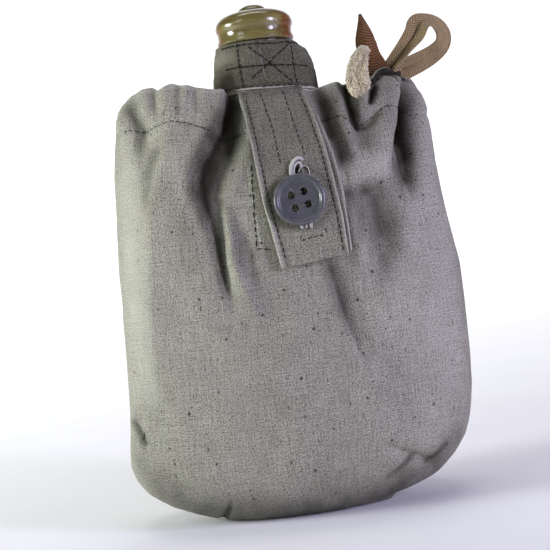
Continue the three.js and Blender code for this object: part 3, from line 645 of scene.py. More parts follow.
FRONT = [
    # the big soft lobe at the left of the strap and the deep hollow behind its edge
    tent([(-35.5, 182), (-38.5, 167.9), (-42.4, 153.3), (-46.2, 143.5), (-49.3, 133.6), (-52.4, 113.7), (-55.2, 89.5), (-57.8, 65.2), (-59.5, 36)], [1.0, 1.6, 2.3, 2.7, 2.9, 2.9, 2.6, 2.2, 1.6], 10.0, 8.0),
    tent([(-20.5, 120.0), (-20.3, 109.2), (-17.9, 99.7), (-14.5, 89.2), (-12, 76)], [0.7, 0.9, 0.9, 0.7, 0.4], 4.0, 3.0),
    crease([(47.0, 177.3), (50.6, 177.9), (53.9, 176.3), (55.2, 173.7), (56.2, 171.4), (56.5, 168)], [-1.0, -1.4, -1.5, -1.3, -0.9, -0.3], 1.1),
    crease([(49.0, 175.9), (52.4, 175.2), (54.4, 172.4), (54.8, 168.5), (54.0, 164.2)], [0.8, 1.3, 1.3, 1.0, 0.3], 1.9),
    crease([(53.4, 180.0), (57.0, 178.8), (59.0, 177.4), (61.3, 176.0)], [-0.8, -1.1, -1.1, -0.5], 0.9),
    crease([(-36, 184), (-37, 165), (-41, 145), (-40, 118), (-37, 92), (-35, 70)], [1.6, 2.2, 2.4, 1.8, 1.0, 0.3], 11, 11),
    cliff([(-17.0, 178), (-17.6, 174.2), (-21.6, 164.6), (-26.3, 158.2), (-30.5, 151.8), (-33.1, 144.1), (-32.9, 136.1), (-31.0, 129.9), (-29.3, 121), (-28.0, 112), (-26.9, 103), (-25.6, 94), (-24.2, 85)],
          [5.0, 6.0, 6.8, 7.2, 6.8, 5.6, 4.8, 3.8, 3.0, 2.4, 1.8, 1.2, 0.3], [3.0, 3.2, 3.6, 3.8, 3.4, 2.8, 2.4, 2.0, 1.8, 1.8], [5, 7, 10, 12, 12, 10, 7, 5, 4, 4], ridge=[0.5, 0.9, 1.0, 0.8, 0.3], w3=7),
    crease([(-21.0, 134), (-20.6, 128), (-20.5, 120.0), (-20.3, 109.2), (-17.9, 99.7), (-14.5, 89.2), (-12, 80)], [0.8, 1.8, 2.3, 2.2, 1.8, 1.1, 0.3], 2.3, 3.6),
    crease([(-24.6, 131), (-24.9, 119), (-25.4, 108), (-24.5, 95), (-23, 84)], [-1.2, -1.7, -1.3, -0.7, -0.3], 2.2, 2.6),
    crease([(-15.6, 122), (-14.3, 108), (-13.4, 97)], [-1.2, -1.4, -0.5], 3.0, 3.0),
    crease([(-7.0, 156), (-13, 147), (-17.5, 138), (-19.8, 131)], [0.6, 1.4, 1.3, 0.7], 3.6, 6.0),
    # soft valleys near the left seam
    crease([(-56.5, 181.5), (-55.2, 177.5), (-50.8, 167.5), (-52.2, 161), (-54.0, 154.6)], [-0.8, -1.7, -2.0, -1.5, -0.5], 3.4, 2.6),
    crease([(-60, 176), (-58.5, 166), (-58.5, 158)], [0.5, 0.9, 0.3], 3.0),
    crease([(-45.5, 156), (-50.0, 149.0), (-53.4, 137.4)], [-0.7, -1.1, -0.4], 3.4),
    crease([(-60.5, 150), (-61.5, 130), (-60, 105)], [0.5, 0.7, 0.2], 5.0),
    crease([(-34.2, 182.6), (-35.0, 169.7)], -0.75, 1.7, ends=(0, 0.4)),
    crease([(-44.9, 183.5), (-44.2, 171.5)], -0.9, 1.6, ends=(0, 0.45)),
    crease([(-28.4, 181.5), (-27.2, 171.5)], -0.6, 1.6, ends=(0, 0.4)),
    crease([(-39.6, 183), (-39.4, 173)], 0.5, 1.8, ends=(0, 0.4)),
    crease([(-23.4, 179.5), (-23.0, 172)], 0.45, 1.7, ends=(0, 0.4)),
    crease([(-50.0, 184), (-47.5, 173)], 0.6, 2.2, ends=(0, 0.4)),
    # beside the strap on the right
    crease([(20.5, 176), (23.2, 166.0), (25.2, 154.9), (28.1, 145.1), (30, 137)], [-2.0, -2.6, -2.4, -2.0, -0.6], 3.0, 3.0, ends=(0, 0.25)),
    crease([(29.6, 177), (30.2, 163.3), (31.8, 149.8), (36.0, 139)], [1.5, 2.0, 2.2, 1.0], 3.2, 3.0, ends=(0, 0.2)),
    # the gather under the tied end
    crease([(34.0, 178), (34.4, 171.2), (34.4, 166.5), (35.0, 160.6), (36.8, 157.8), (39.5, 157.0), (43.2, 159.2), (46.4, 163.6)], [-3.4, -4.2, -4.4, -4.2, -3.6, -3.0, -2.2, -0.6], 2.1, 2.0, ends=(0, 0.1)),
    crease([(39.8, 178), (40.2, 168), (41.0, 162.6)], [2.4, 2.2, 0.8], 2.4, ends=(0, 0.2)),
    crease([(44.8, 173.5), (43.8, 168.6), (42.5, 165.6), (41.2, 163.6)], [-1.6, -2.6, -2.2, -0.8], 1.2, 1.2, ends=(0.1, 0.3)),
    
    crease([(36.2, 155.5), (34.6, 145.0)], -2.0, 3.2, ends=(0, 0.3)),
    crease([(51.0, 175.4), (50.6, 171.5), (49.6, 167.8), (48.6, 162.0), (47.4, 157.0), (45.6, 151.0), (43.5, 144.5), (41.0, 138.0), (39, 132)], [2.4, 3.4, 3.6, 3.2, 3.0, 2.6, 2.2, 1.4, 0.5], 4.4, 5.0, ends=(0.0, 0.1)),
    cliff([(58.4, 178.0), (57.4, 174.4), (56.2, 171.0), (55.0, 167.2), (53.8, 163.4), (52.8, 159.7), (51.8, 156), (50.0, 152.0), (48.2, 146.5), (46.8, 139.5), (45.4, 131)],
          [1.0, 3.0, 5.0, 6.4, 7.2, 7.4, 7.0, 5.8, 4.6, 3.0, 0.8], 1.9, [4, 4, 5, 6, 7, 8, 8, 8, 8, 8, 8], ridge=0.7, w3=3.5, ends=(0.0, 0.12)),
    crease([(59.8, 174.5), (58.6, 170.5), (57.9, 166.5), (57.3, 160.5), (56.3, 151.5), (55.2, 142.7), (54.2, 133.5), (54.2, 124)], [-0.6, -2.6, -4.0, -4.6, -4.8, -4.4, -3.4, -0.8], 2.1, 2.3, ends=(0, 0.15)),
    crease([(46.0, 174.6), (47.8, 176.2), (50.0, 176.8), (52.1, 176.4), (53.9, 175.1), (55.2, 172.6)], [-1.4, -2.8, -3.2, -3.0, -2.4, -1.0], 1.0, 0.9),
    crease([(48.0, 177.7), (50.2, 178.2), (52.7, 178.0), (55.4, 177.3), (57.6, 176.3), (60.4, 174.5)], [-0.8, -1.6, -1.8, -1.8, -1.4, -0.5], 0.75, 0.75),
    crease([(43.9, 171.6), (45.2, 174.4), (46.6, 175.9)], [0.8, 1.2, 0.8], 1.0, 1.0),
    crease([(64.8, 172.7), (64.7, 155.5), (62.5, 139.4)], [1.0, 1.6, 0.5], 3.4),
    # lower right hollow and its borders
    crease([(37.0, 134.5), (39.4, 128), (40.8, 118), (40.3, 107), (38.4, 97), (36, 86)], [-0.8, -2.3, -3.0, -2.6, -1.7, -0.4], 7.4, 6.4, ends=(0.12, 0.2)),
    crease([(22.5, 131.2), (30, 130.4), (37.5, 130.6), (44, 132)], [-0.7, -1.3, -1.6, -0.6], 2.4, 4.4, ends=(0.1, 0.15)),
    crease([(27.5, 136.0), (36.3, 136.4), (46.0, 136.4)], [1.5, 2.4, 1.2], 3.4, 2.4),
    crease([(28.6, 128), (29.1, 110.4), (29.4, 98)], [0.9, 1.1, 0.3], 2.6),
    crease([(49.5, 128), (47.8, 115), (47, 100)], [0.7, 1.0, 0.3], 4.0),
    cliff([(14.4, 109), (15.3, 103.3), (16.7, 95.1), (18.0, 86.9), (20.3, 76.5), (22.7, 67.3), (24.2, 58)], [1.4, 2.0, 2.5, 2.5, 2.1, 1.2, 0.3], 1.5, 7.0, ridge=0.6, w3=7, ends=(0.0, 0.2)),
    crease([(21.9, 94), (22.9, 82), (25.8, 66)], [0.3, 0.7, 0.2], 3.0),
    crease([(54.4, 124.4), (48.6, 108.8), (41.4, 93.6), (33.6, 78.6), (24.6, 59.8)], [0.9, 1.5, 1.5, 1.1, 0.3], 5.0, 5.5),
    crease([(6.0, 104), (3.0, 88), (2, 70)], [0.5, 0.6, 0.2], 7.0),
    # the shaped lower corners
    crease([(28.2, 28.0), (36, 24.4), (44, 19.6), (53.2, 13.6)], [-0.5, -1.5, -1.7, -0.7], 1.8, 2.8),
    crease([(29.6, 11.9), (36.5, 16.5), (43.8, 21.4)], [-0.5, -1.2, -0.5], 1.5, 1.8),
    crease([(31, 32.6), (43, 28.5), (55, 20)], [0.4, 0.9, 0.3], 3.4),
    crease([(-70.8, 47.2), (-68.9, 41.5), (-67.0, 34.0)], [-0.9, -1.6, -0.5], 1.6, 1.8),
    crease([(-71.0, 30), (-66, 17), (-56, 7)], [0.6, 1.0, 0.4], 5.0),
    crease([(-61, 31), (-55, 22), (-45, 15)], [-0.4, -0.9, -0.3], 3.5),
    crease([(-40.5, 1.0), (-38.4, 4.5), (-35.8, 9.6), (-34.0, 15)], [-1.4, -1.8, -1.3, -0.3], 1.3, 1.5, ends=(0, 0.2)),
    crease([(-52, 70), (-50, 50), (-48, 30)], [0.3, 0.6, 0.2], 7.0),
    crease([(20, 60), (17, 40), (13, 20)], [-0.3, -0.6, -0.2], 6.0),
]
BACK = [
    crease([(-50, 184), (-47, 168), (-49, 150)], [-2.0, -2.2, -0.6], 3.0, ends=(0, 0.2)),
    crease([(-38, 184), (-37, 166), (-40, 140), (-40, 100)], [1.6, 2.4, 1.6, 0.4], 5.0, ends=(0, 0.2)),
    crease([(-27, 182), (-28, 166), (-31, 150), (-31, 130)], [-2.4, -3.2, -2.4, -0.5], 3.4, ends=(0, 0.2)),
    crease([(-18, 178), (-19, 164), (-24, 146)], [1.0, 1.4, 0.4], 3.0, ends=(0, 0.2)),
    crease([(20, 177), (21, 164), (26, 148)], [1.0, 1.5, 0.4], 3.2, ends=(0, 0.2)),
    crease([(28, 178), (30, 164), (34, 146), (35, 122)], [-2.6, -3.4, -2.4, -0.5], 3.2, ends=(0, 0.2)),
    crease([(38, 178), (38.5, 164), (42, 146), (42, 112)], [1.8, 2.4, 1.6, 0.3], 4.2, ends=(0, 0.2)),
    crease([(47, 180), (48, 166), (51, 150), (52, 128)], [-3.0, -3.8, -3.0, -0.6], 2.6, ends=(0, 0.2)),
    crease([(56, 180), (57, 164), (58, 146)], [1.6, 1.8, 0.5], 2.6, ends=(0, 0.2)),
    crease([(-60, 60), (-40, 40), (-24, 34)], [-0.4, -0.9, -0.3], 4.0),
    crease([(58, 64), (40, 42), (22, 36)], [-0.4, -1.0, -0.3], 4.0),
    crease([(46, 28), (36, 14), (30, 6)], [-0.5, -1.2, -0.6], 1.8),
    crease([(-46, 28), (-38, 14), (-32, 6)], [-0.5, -1.2, -0.6], 1.8),
]
# painted shade: the cover's colour darkened along its deep folds, in the shadows of the lobe, the strap and the tied
# end, round the foot where it curves under, and at its outer edges
PAINTED_SHADE = [
    ([(58.8, 173), (58.9, 167), (58.2, 160.5), (57.3, 151.9), (56.2, 142.7), (55.0, 133.5), (54.6, 127)], [0.6, 0.9, 0.92, 0.92, 0.92, 0.85, 0.2], 3.6),
    ([(-13, 174), (-17, 165), (-21, 156), (-27, 147), (-30, 139), (-29.5, 131), (-27.5, 120), (-26.5, 106), (-25.2, 92)], [0.75, 0.95, 1.0, 1.0, 1.0, 0.9, 0.7, 0.55, 0.1], [4.6, 6.6, 7.2, 6, 4.6, 3.4, 2.4, 2.0, 1.5]),
    ([(-13, 170), (-14, 155), (-17, 138)], [0.5, 0.42, 0.2], 5.5),
    ([(-18.6, 130), (-17.8, 118), (-17.4, 108), (-15.0, 98)], [0.25, 0.4, 0.4, 0.1], 2.0),
    ([(21.2, 175), (24.6, 162), (25.6, 154), (26.4, 147), (27.2, 142.3), (29.5, 137)], [0.85, 0.9, 0.9, 0.85, 0.7, 0.2], 4.4),
    ([(34.0, 174), (34.2, 167), (34.3, 163.6), (34.9, 159.7), (37, 157.6), (40.5, 158.0)], [0.8, 0.95, 0.95, 0.85, 0.6, 0.2], 3.1),
    ([(43.9, 171), (42.6, 166.4), (41.4, 164)], [0.6, 0.6, 0.2], 1.3),
    ([(29, 171), (32, 160), (38, 150), (44, 145)], [0.38, 0.36, 0.26, 0.12], 7.0),
    ([(45.4, 174.4), (48, 177.2), (52, 178.2), (57, 177.3), (61, 174)], [0.45, 0.66, 0.7, 0.66, 0.4], 2.2),
    ([(49, 174), (50.5, 169), (50, 160), (46, 150)], [0.4, 0.36, 0.28, 0.1], 4.5),
    ([(63.5, 172), (63.5, 160), (61, 145)], [0.14, 0.1, 0.04], 3.0),
    ([(37, 132), (39.6, 126), (40.3, 116), (39.4, 104), (37, 91)], [0.3, 0.56, 0.6, 0.46, 0.1], [9, 8.4, 7.4, 6.0, 4]),
    ([(22.5, 131.4), (30, 130.6), (38, 130.8), (45.5, 132.4)], [0.4, 0.52, 0.55, 0.25], 3.4),
    ([(31, 128), (33.5, 118), (35.5, 106)], [0.36, 0.34, 0.08], 6.0),
    ([(17.6, 103), (19.2, 93), (21.4, 82), (24.0, 70)], [0.5, 0.6, 0.45, 0.1], 3.6),
    ([(28, 128), (27, 112), (25, 98)], [0.3, 0.26, 0.1], 5.0),
    ([(-70, 30), (-62, 18), (-52, 10), (-39.7, 4), (-15.4, 1.5), (9.4, 1.5), (30.4, 4), (47.8, 11), (60, 22), (70, 38)], [0.2, 0.38, 0.52, 0.62, 0.66, 0.66, 0.62, 0.54, 0.38, 0.15], [5, 6, 8, 9, 10, 10, 9, 8, 6, 4]),
    ([(-70.9, 47), (-69.6, 43), (-68.2, 39.5)], 0.75, 1.9),
    ([(30.5, 13.2), (36, 16.5), (42, 20.3)], 0.6, 1.7),
    ([(48, 17), (55, 21.5), (59, 26)], [0.6, 0.65, 0.2], 2.0),
    ([(-40.5, 0.5), (-38, 4.5), (-36, 8.5)], 0.8, 1.4),
    ([(-55.5, 178), (-52.6, 170), (-52.0, 162), (-53, 154)], [0.5, 0.66, 0.6, 0.25], 3.1),
    ([(-46, 156), (-49.6, 148), (-51.5, 138), (-51.5, 128)], [0.36, 0.44, 0.3, 0.1], 2.8),
    ([(-34.4, 182), (-35, 171)], 0.34, 1.2),
    ([(55.5, 160), (53.0, 150), (51.6, 142), (50.6, 133), (50, 127)], [0.3, 0.5, 0.6, 0.6, 0.2], [4, 5, 5.4, 5, 4]),
    ([(-8.6, 170), (-13, 160), (-18, 151), (-25, 142), (-29.5, 134)], [0.5, 0.66, 0.7, 0.66, 0.3], 4.4),
    ([(26.5, 143), (30, 146.5), (33.5, 152)], [0.4, 0.45, 0.3], 2.8),
    ([(30, 172), (40, 166), (50, 162), (58, 166)], [0.14, 0.20, 0.20, 0.14], 12.0),
    ([(71, 160), (73, 135), (75.5, 105), (76, 75), (73, 45)], [0.2, 0.3, 0.34, 0.32, 0.2], 6.0),
    ([(-70, 140), (-73, 110), (-75, 80)], [0.1, 0.16, 0.16], 4.0),
    ([(47.0, 177.3), (50.6, 177.9), (53.9, 176.3), (55.2, 173.7), (56.2, 171.4)], [0.7, 0.85, 0.85, 0.8, 0.5], 1.0),
    ([(53.4, 180.0), (57.0, 178.8), (59.0, 177.4), (61.3, 176.0)], [0.6, 0.8, 0.8, 0.4], 0.9),
    ([(45.0, 175.4), (45.7, 171.5), (43.4, 167.8), (41.2, 165.0)], [0.7, 0.8, 0.7, 0.3], 1.5),
    ([(44, 180), (50, 181), (56, 181), (62, 178)], [0.4, 0.55, 0.55, 0.4], 3.0),
    ([(-12.4, 175.2), (-8.2, 169.6), (-6.9, 163.0)], [0.6, 0.5, 0.2], 3.0),
    ([(-44.9, 182), (-44.4, 173)], 0.3, 1.2),
    ([(-27.6, 180), (-27.2, 171)], 0.28, 1.2),
    ([(-24, 160), (-30, 158), (-38, 160)], [0.22, 0.18, 0.05], 6.0),
    ([(-38, 136), (-36, 118), (-33, 100)], [0.16, 0.2, 0.06], 6.5),
]


# and painted light: the colour lightened on the lit ridges, the bulge right of the strap and the left facet
PAINTED_LIGHT = [
    ([(20, 143), (25, 139.5), (31, 137.4), (38.4, 137.7), (45.4, 141.8), (51, 148)], [0.14, 0.3, 0.34, 0.34, 0.28, 0.12], 5.4),
    ([(-24.5, 172), (-30.5, 160), (-36.5, 149), (-37.0, 138), (-33, 126)], [0.08, 0.12, 0.14, 0.12, 0.05], 2.6),
    ([(-56, 165), (-58, 150), (-60, 120), (-62, 90), (-63, 60)], [0.12, 0.26, 0.34, 0.32, 0.2], 6.5),
    ([(48, 90), (54, 70), (56, 45)], [0.06, 0.1, 0.06], 12.0),
]


# painted shade and light on the cover: the shade strokes darken its colour, the light strokes lighten it
def painted_shading(X, Z):
    g = np.zeros(X.shape)
    for path, amount, width in PAINTED_SHADE:
        sd, t = near_path(path, X, Z)
        g = np.maximum(g, along(amount, t) * np.exp(-((sd / along(width, t)) ** 2))) + 0.35 * np.minimum(g, along(amount, t) * np.exp(-((sd / along(width, t)) ** 2)))
    g = g * (0.9 + 0.25 * N2(X / 4.0, Z / 6.0))
    for path, amount, width in PAINTED_LIGHT:
        sd, t = near_path(path, X, Z)
        g = g - along(amount, t) * np.exp(-((sd / along(width, t)) ** 2))
    return g


N1, N2, N3, N4 = (value_noise(s) for s in (11, 23, 37, 41))
STRAP_L = smooth_table([(100, -0.9), (105.0, -1.7), (119.3, -4.0), (133.6, -6.0), (156.7, -7.7), (175.4, -9.8), (180, -10)], 100, 180, blur=4)
STRAP_R = smooth_table([(100, 24.7), (109, 25.0), (120.3, 24.5), (133.3, 23.2), (148, 21.6), (162.7, 19.0), (173.4, 16.4), (180, 15.6)], 100, 180, blur=4)
STRAP_R2 = smooth_table([(100, 26.7), (107.7, 26.9), (120, 26.7), (132.9, 26.2), (145.6, 24.4), (160.9, 21.0), (173.2, 17.6), (180, 17)], 100, 180, blur=4)


def strap_mask(X, Z, grow=1.0):
    return sstep(-grow, grow + 1.5, X - STRAP_L(Z)) * sstep(-grow, grow + 1.5, STRAP_R2(Z) - X) * sstep(101, 105, Z)


def stitch_height(X):
    """Height of the hem's lower stitch line."""
    return HEM_LINE(X)


HEM_LINE = smooth_table([(-75, 166), (-57.6, 168.7), (-50.3, 166.8), (-44.2, 167.6), (-37.5, 168.4), (-29.6, 165.6), (-24.1, 162.9), (-18.6, 160.6), (-14.4, 161.3), (-8.8, 160.8), (0, 159), (12, 158), (24.7, 162.3), (29, 161.4), (32.3, 159.2), (37.9, 157.8), (42.7, 160), (48.1, 163), (53, 162.7), (60, 160.5), (75, 158)], -75, 75, blur=2.0)


def bulge(X, Z, side):
    strokes = FRONT if side < 0 else BACK
    D = np.zeros(X.shape)
    for f in strokes:
        D += f(X, Z)
    low = 0.75 * N1(X / 34 + 3.1, Z / 46 + 1.7) + 0.35 * N2(X / 15 + 5, Z / 22 + side)
    fine = 0.12 * N3(X / 5.5, Z / 8.0) + 0.05 * N4(X / 2.3, Z / 3.1)
    D += low * (1 - 0.35 * sstep(150, 175, Z)) + fine
    if side < 0:
        # the hem: pinched at its stitch line, a little full round the tape above it
        h = HEM_LINE(X)
        D += -0.55 * np.exp(-(((Z - h) / 0.9) ** 2)) * (1 - strap_mask(X, Z))
        up = (Z - h) / np.maximum(top_front(X) - h, 4)
        D += 0.75 * np.sin(np.pi * np.clip(up, 0, 1)) * (1 - strap_mask(X, Z))
        pucker = 0.14 * np.sin(2 * np.pi * X / 3.1 + 1.4 * N2(X / 9, 2.0)) * np.exp(-(((Z - h) / 2.2) ** 2))
        D += pucker
        # the backing patch behind the button stands out a little, and the cloth is flat under the strap
        patch = sstep(-10.4, -8.6, X + 0.02 * (Z - 112)) * sstep(110.6, 112.4, Z) * sstep(148.4, 146.6, Z) * sstep(30, 20, X)
        D += 0.45 * patch
        m = strap_mask(X, Z, 1.5)
        D = D * (1 - m) + m * np.clip(0.15 * D, -0.6, 0.25)
    else:
        up = (Z - (top_back(X) - HEM)) / HEM
        D += 0.7 * np.sin(np.pi * np.clip(up, 0, 1)) - 0.45 * np.exp(-(((Z - top_back(X) + HEM) / 0.9) ** 2))
        m = sstep(27, 23, np.abs(X)) * sstep(84, 90, Z) * sstep(178, 172, Z)
        D = D * (1 - m) + m * np.clip(0.12 * D, -0.5, 0.2)
    return D


def cover_surface(phi, z, side, D=None):
    x, y = base_point(phi, z, side)
    e = 0.012
    xa, ya = base_point(np.clip(phi - e, 1e-4, np.pi - 1e-4), z, side)
    xb, yb = base_point(np.clip(phi + e, 1e-4, np.pi - 1e-4), z, side)
    xu, yu = base_point(phi, z + 0.6, side)
    xd, yd = base_point(phi, z - 0.6, side)
    t = np.stack([xb - xa, yb - ya, 0 * xa], -1)
    u = np.stack([xu - xd, yu - yd, 0 * xu + 1.2], -1)
    n = np.cross(t, u)
    n /= np.maximum(np.linalg.norm(n, axis=-1, keepdims=True), 1e-9)
    if side > 0:
        n = -n
    if D is None:
        D = bulge(x, z, side)
    edge = sstep(0.0, 0.07, np.minimum(phi, np.pi - phi) / np.pi)
    D = D * edge
    P = np.stack([x, y, z + 0 * x], -1) + n * D[..., None]
    # never into the flask
    fa, fb = flask_a(P[..., 2]), flask_b(P[..., 2])
    r = np.clip(1 - (np.abs(P[..., 0]) / fa) ** 2.25, 0, 1) ** (1 / 2.25)
    need = np.where(P[..., 2] < 172, fb * r + 1.3, 0)
    if side < 0:
        P[..., 1] = np.minimum(P[..., 1], -need * (r > 0) * edge)
    else:
        P[..., 1] = np.maximum(P[..., 1], need * (r > 0) * edge)
    return P, n


def blur_grid(A, n):
    k = np.hanning(2 * n + 3)
    k /= k.sum()
    B = np.apply_along_axis(lambda r: np.convolve(np.pad(r, n + 1, mode="edge"), k, mode="valid"), 0, A)
    return np.apply_along_axis(lambda r: np.convolve(np.pad(r, n + 1, mode="edge"), k, mode="valid"), 1, B)


def panel(name, side, cols, rows_side, mat, node_names):
    phi = np.linspace(0, np.pi, cols)
    x0 = base_point(phi, np.full(cols, 178.0), side)[0]
    top = (top_front if side < 0 else top_back)(x0)
    # the height each row aims at, on the left alone of the hem and then over it
    h = np.linspace(0, 1, rows_side)
    h = 1.22 * h - 0.22 * h**2.2 if side < 0 else h
    h = h / h[-1]
    rows = []
    for t in h:
        z = t * 180.0
        zz = np.where(z > 118, 118 + (z - 118) * (top - 118) / 62.0, z)
        rows.append(zz)
    Z = np.array(rows)
    PHI = np.broadcast_to(phi, Z.shape)
    P, n = cover_surface(PHI, Z, side)
    # bottom: from the seam under the base out to the first row
    K = 12
    seam_y = 11.0
    foot = P[0]
    under = []
    for k in range(K):
        f = (k / K) ** 0.9
        sx = foot[:, 0] * 0.96
        sy = side * 0.15 + seam_y * (1 - np.clip(np.abs(sx) / 40, 0, 1) ** 2)
        q = np.stack([sx + (foot[:, 0] - sx) * f, sy + (foot[:, 1] - sy) * f, np.zeros(cols) + 0.0], -1)
        under.append(q)
    under = np.array(under)
    # over the top: round the fold, then down the inside of the hem
    tp, tn = P[-1], n[-1]
    inward = -tn.copy()
    inward[:, 2] = 0
    inward /= np.maximum(np.linalg.norm(inward, axis=1, keepdims=True), 1e-6)
    over = []
    rad = 1.7
    for a in np.linspace(0.25, 1.0, 6) * np.pi:
        over.append(tp + inward * (rad * (1 - math.cos(a))) + np.array([0, 0, rad * 0.62 * math.sin(a)]))
    for d in np.linspace(1.5, HEM, 12):
        rr = P[-1 - min(int(d / 180.0 * rows_side * 1.0), rows_side - 1)]
        q = rr + inward * (2 * rad + 0.25 * math.sin(math.pi * d / HEM))
        over.append(q)
    over = np.array(over)
    G = np.concatenate([under, P, over])
    # never inside out at the middle plane
    sgn = side
    lim = 0.15 * side
    body_rows = slice(K, G.shape[0])
    if side < 0:
        G[body_rows, :, 1] = np.minimum(G[body_rows, :, 1], lim)
    else:
        G[body_rows, :, 1] = np.maximum(G[body_rows, :, 1], lim)
    # place on the flat cloth
    du = np.linalg.norm(np.diff(P[len(P) // 2], axis=0), axis=1)
    u = np.r_[0, np.cumsum(du)]
    mid = G[:, cols // 2]
    v = np.r_[0, np.cumsum(np.linalg.norm(np.diff(mid, axis=0), axis=1))]
    W = np.zeros(G.shape)
    W[..., 0] = u[None, :] + (137 if side > 0 else 0)
    W[..., 1] = v[:, None]
    F = grid_faces(G.shape[0], cols)
    if side > 0:
        F = F[:, ::-1]
    # painted shade: the colour darkened by how far each point lies below the cloth round it
    x_, y_ = base_point(PHI, Z, side)
    depth = bulge(x_, Z, side)
    wide = blur_grid(depth, 9)
    shading_and_soil = np.zeros(G.shape[:2])
    shading_and_soil[K : K + len(Z)] = np.clip((wide - depth - 0.35) / 3.2, 0, 0.6) * sstep(60, 120, Z)
    if side < 0:
        painted = np.clip(shading_and_soil[K : K + len(Z)] * 0.6 + painted_shading(x_, Z), -0.34, 0.98)
        shading_and_soil[K : K + len(Z)] = np.where(painted > 0, 1 - (1 - np.maximum(painted, 0)) ** 1.25, painted)
    # lighter along the fold of the hem, and painted shade where the tape draws it together
    shading_and_soil[K + len(Z) - 3 : K + len(Z) + 5] -= 0.10
    if side < 0:
        gx = G[K + len(Z) - 6 :, :, 0]
        drawn = np.exp(-(((gx - 53.5) / 9.0) ** 4))
        ring_ = 0.5 + 0.5 * np.sin((np.arange(gx.shape[0])[:, None] * 1.55 - (gx - 53) * 0.30 - 0.6))
        shading_and_soil[K + len(Z) - 6 :] += drawn * (0.30 + 0.52 * ring_)
    o = make(name, G.reshape(-1, 3), F, "cover", mat, W.reshape(-1, 3), shading_and_soil=shading_and_soil)
    thicken(o, 0.8, -1.0)
    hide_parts(*node_names)
    return o, G


front, FG = panel("cover_front_cloth", -1, 400, 340, M_CANVAS, ["cover_front"])
back, BG = panel("cover_back_cloth", 1, 200, 170, M_BACK, ["cover_back"])


def on_cover(xs, zs, side=-1, lift=0.0):
    """Points and normals on the cover's outside at given x and z."""
    xs, zs = np.asarray(xs, float), np.asarray(zs, float)
    phi = phi_of(xs, zs)
    P, n = cover_surface(phi, zs, side)
    return P + n * lift, n


def resample(path, step=0.4):
    P = np.asarray(path, float)
    s = np.r_[0, np.cumsum(np.linalg.norm(np.diff(P, axis=0), axis=1))]
    q = np.arange(0, s[-1], step)
    R = np.stack([np.interp(q, s, P[:, i]) for i in range(P.shape[1])], -1)
    return R


def cover_line(path, side=-1, lift=0.1, jitter=0.0, seed=1):
    R = resample(path)
    if jitter:
        r = np.random.default_rng(seed)
        k = np.convolve(r.standard_normal(len(R) + 20), np.hanning(15) / 7, mode="same")[: len(R)]
        R = R + np.stack([0 * k, jitter * k], -1)
    return on_cover(R[:, 0], R[:, 1], side, lift)


# ---- strap ----------------------------------------------------------------------------------------
HOLE_TOP, HOLE_BOTTOM = 145.3, 119.8


def strap_surface(X, Z, lift):
    """The strap lies on the cover and dives under the collar at its top."""
    P, n = on_cover(X, np.minimum(Z, 171.5), -1, 0.0)
    y0 = P[..., 1]
    t = sstep(169.0, 176.5, Z)
    ya = np.clip(np.abs(X - 0.8) / 22.0, 0, 0.98)
    collar = -20.9 * (1 - ya**2.6) ** (1 / 2.6) + 1.4
    y = y0 * (1 - t) + collar * t
    Q = np.stack([X, y, Z], -1)
    nn = n * (1 - t)[..., None] + np.array([0, -0.98, 0.2]) * t[..., None]
    nn /= np.linalg.norm(nn, axis=-1, keepdims=True)
    return Q + nn * np.asarray(lift)[..., None], nn


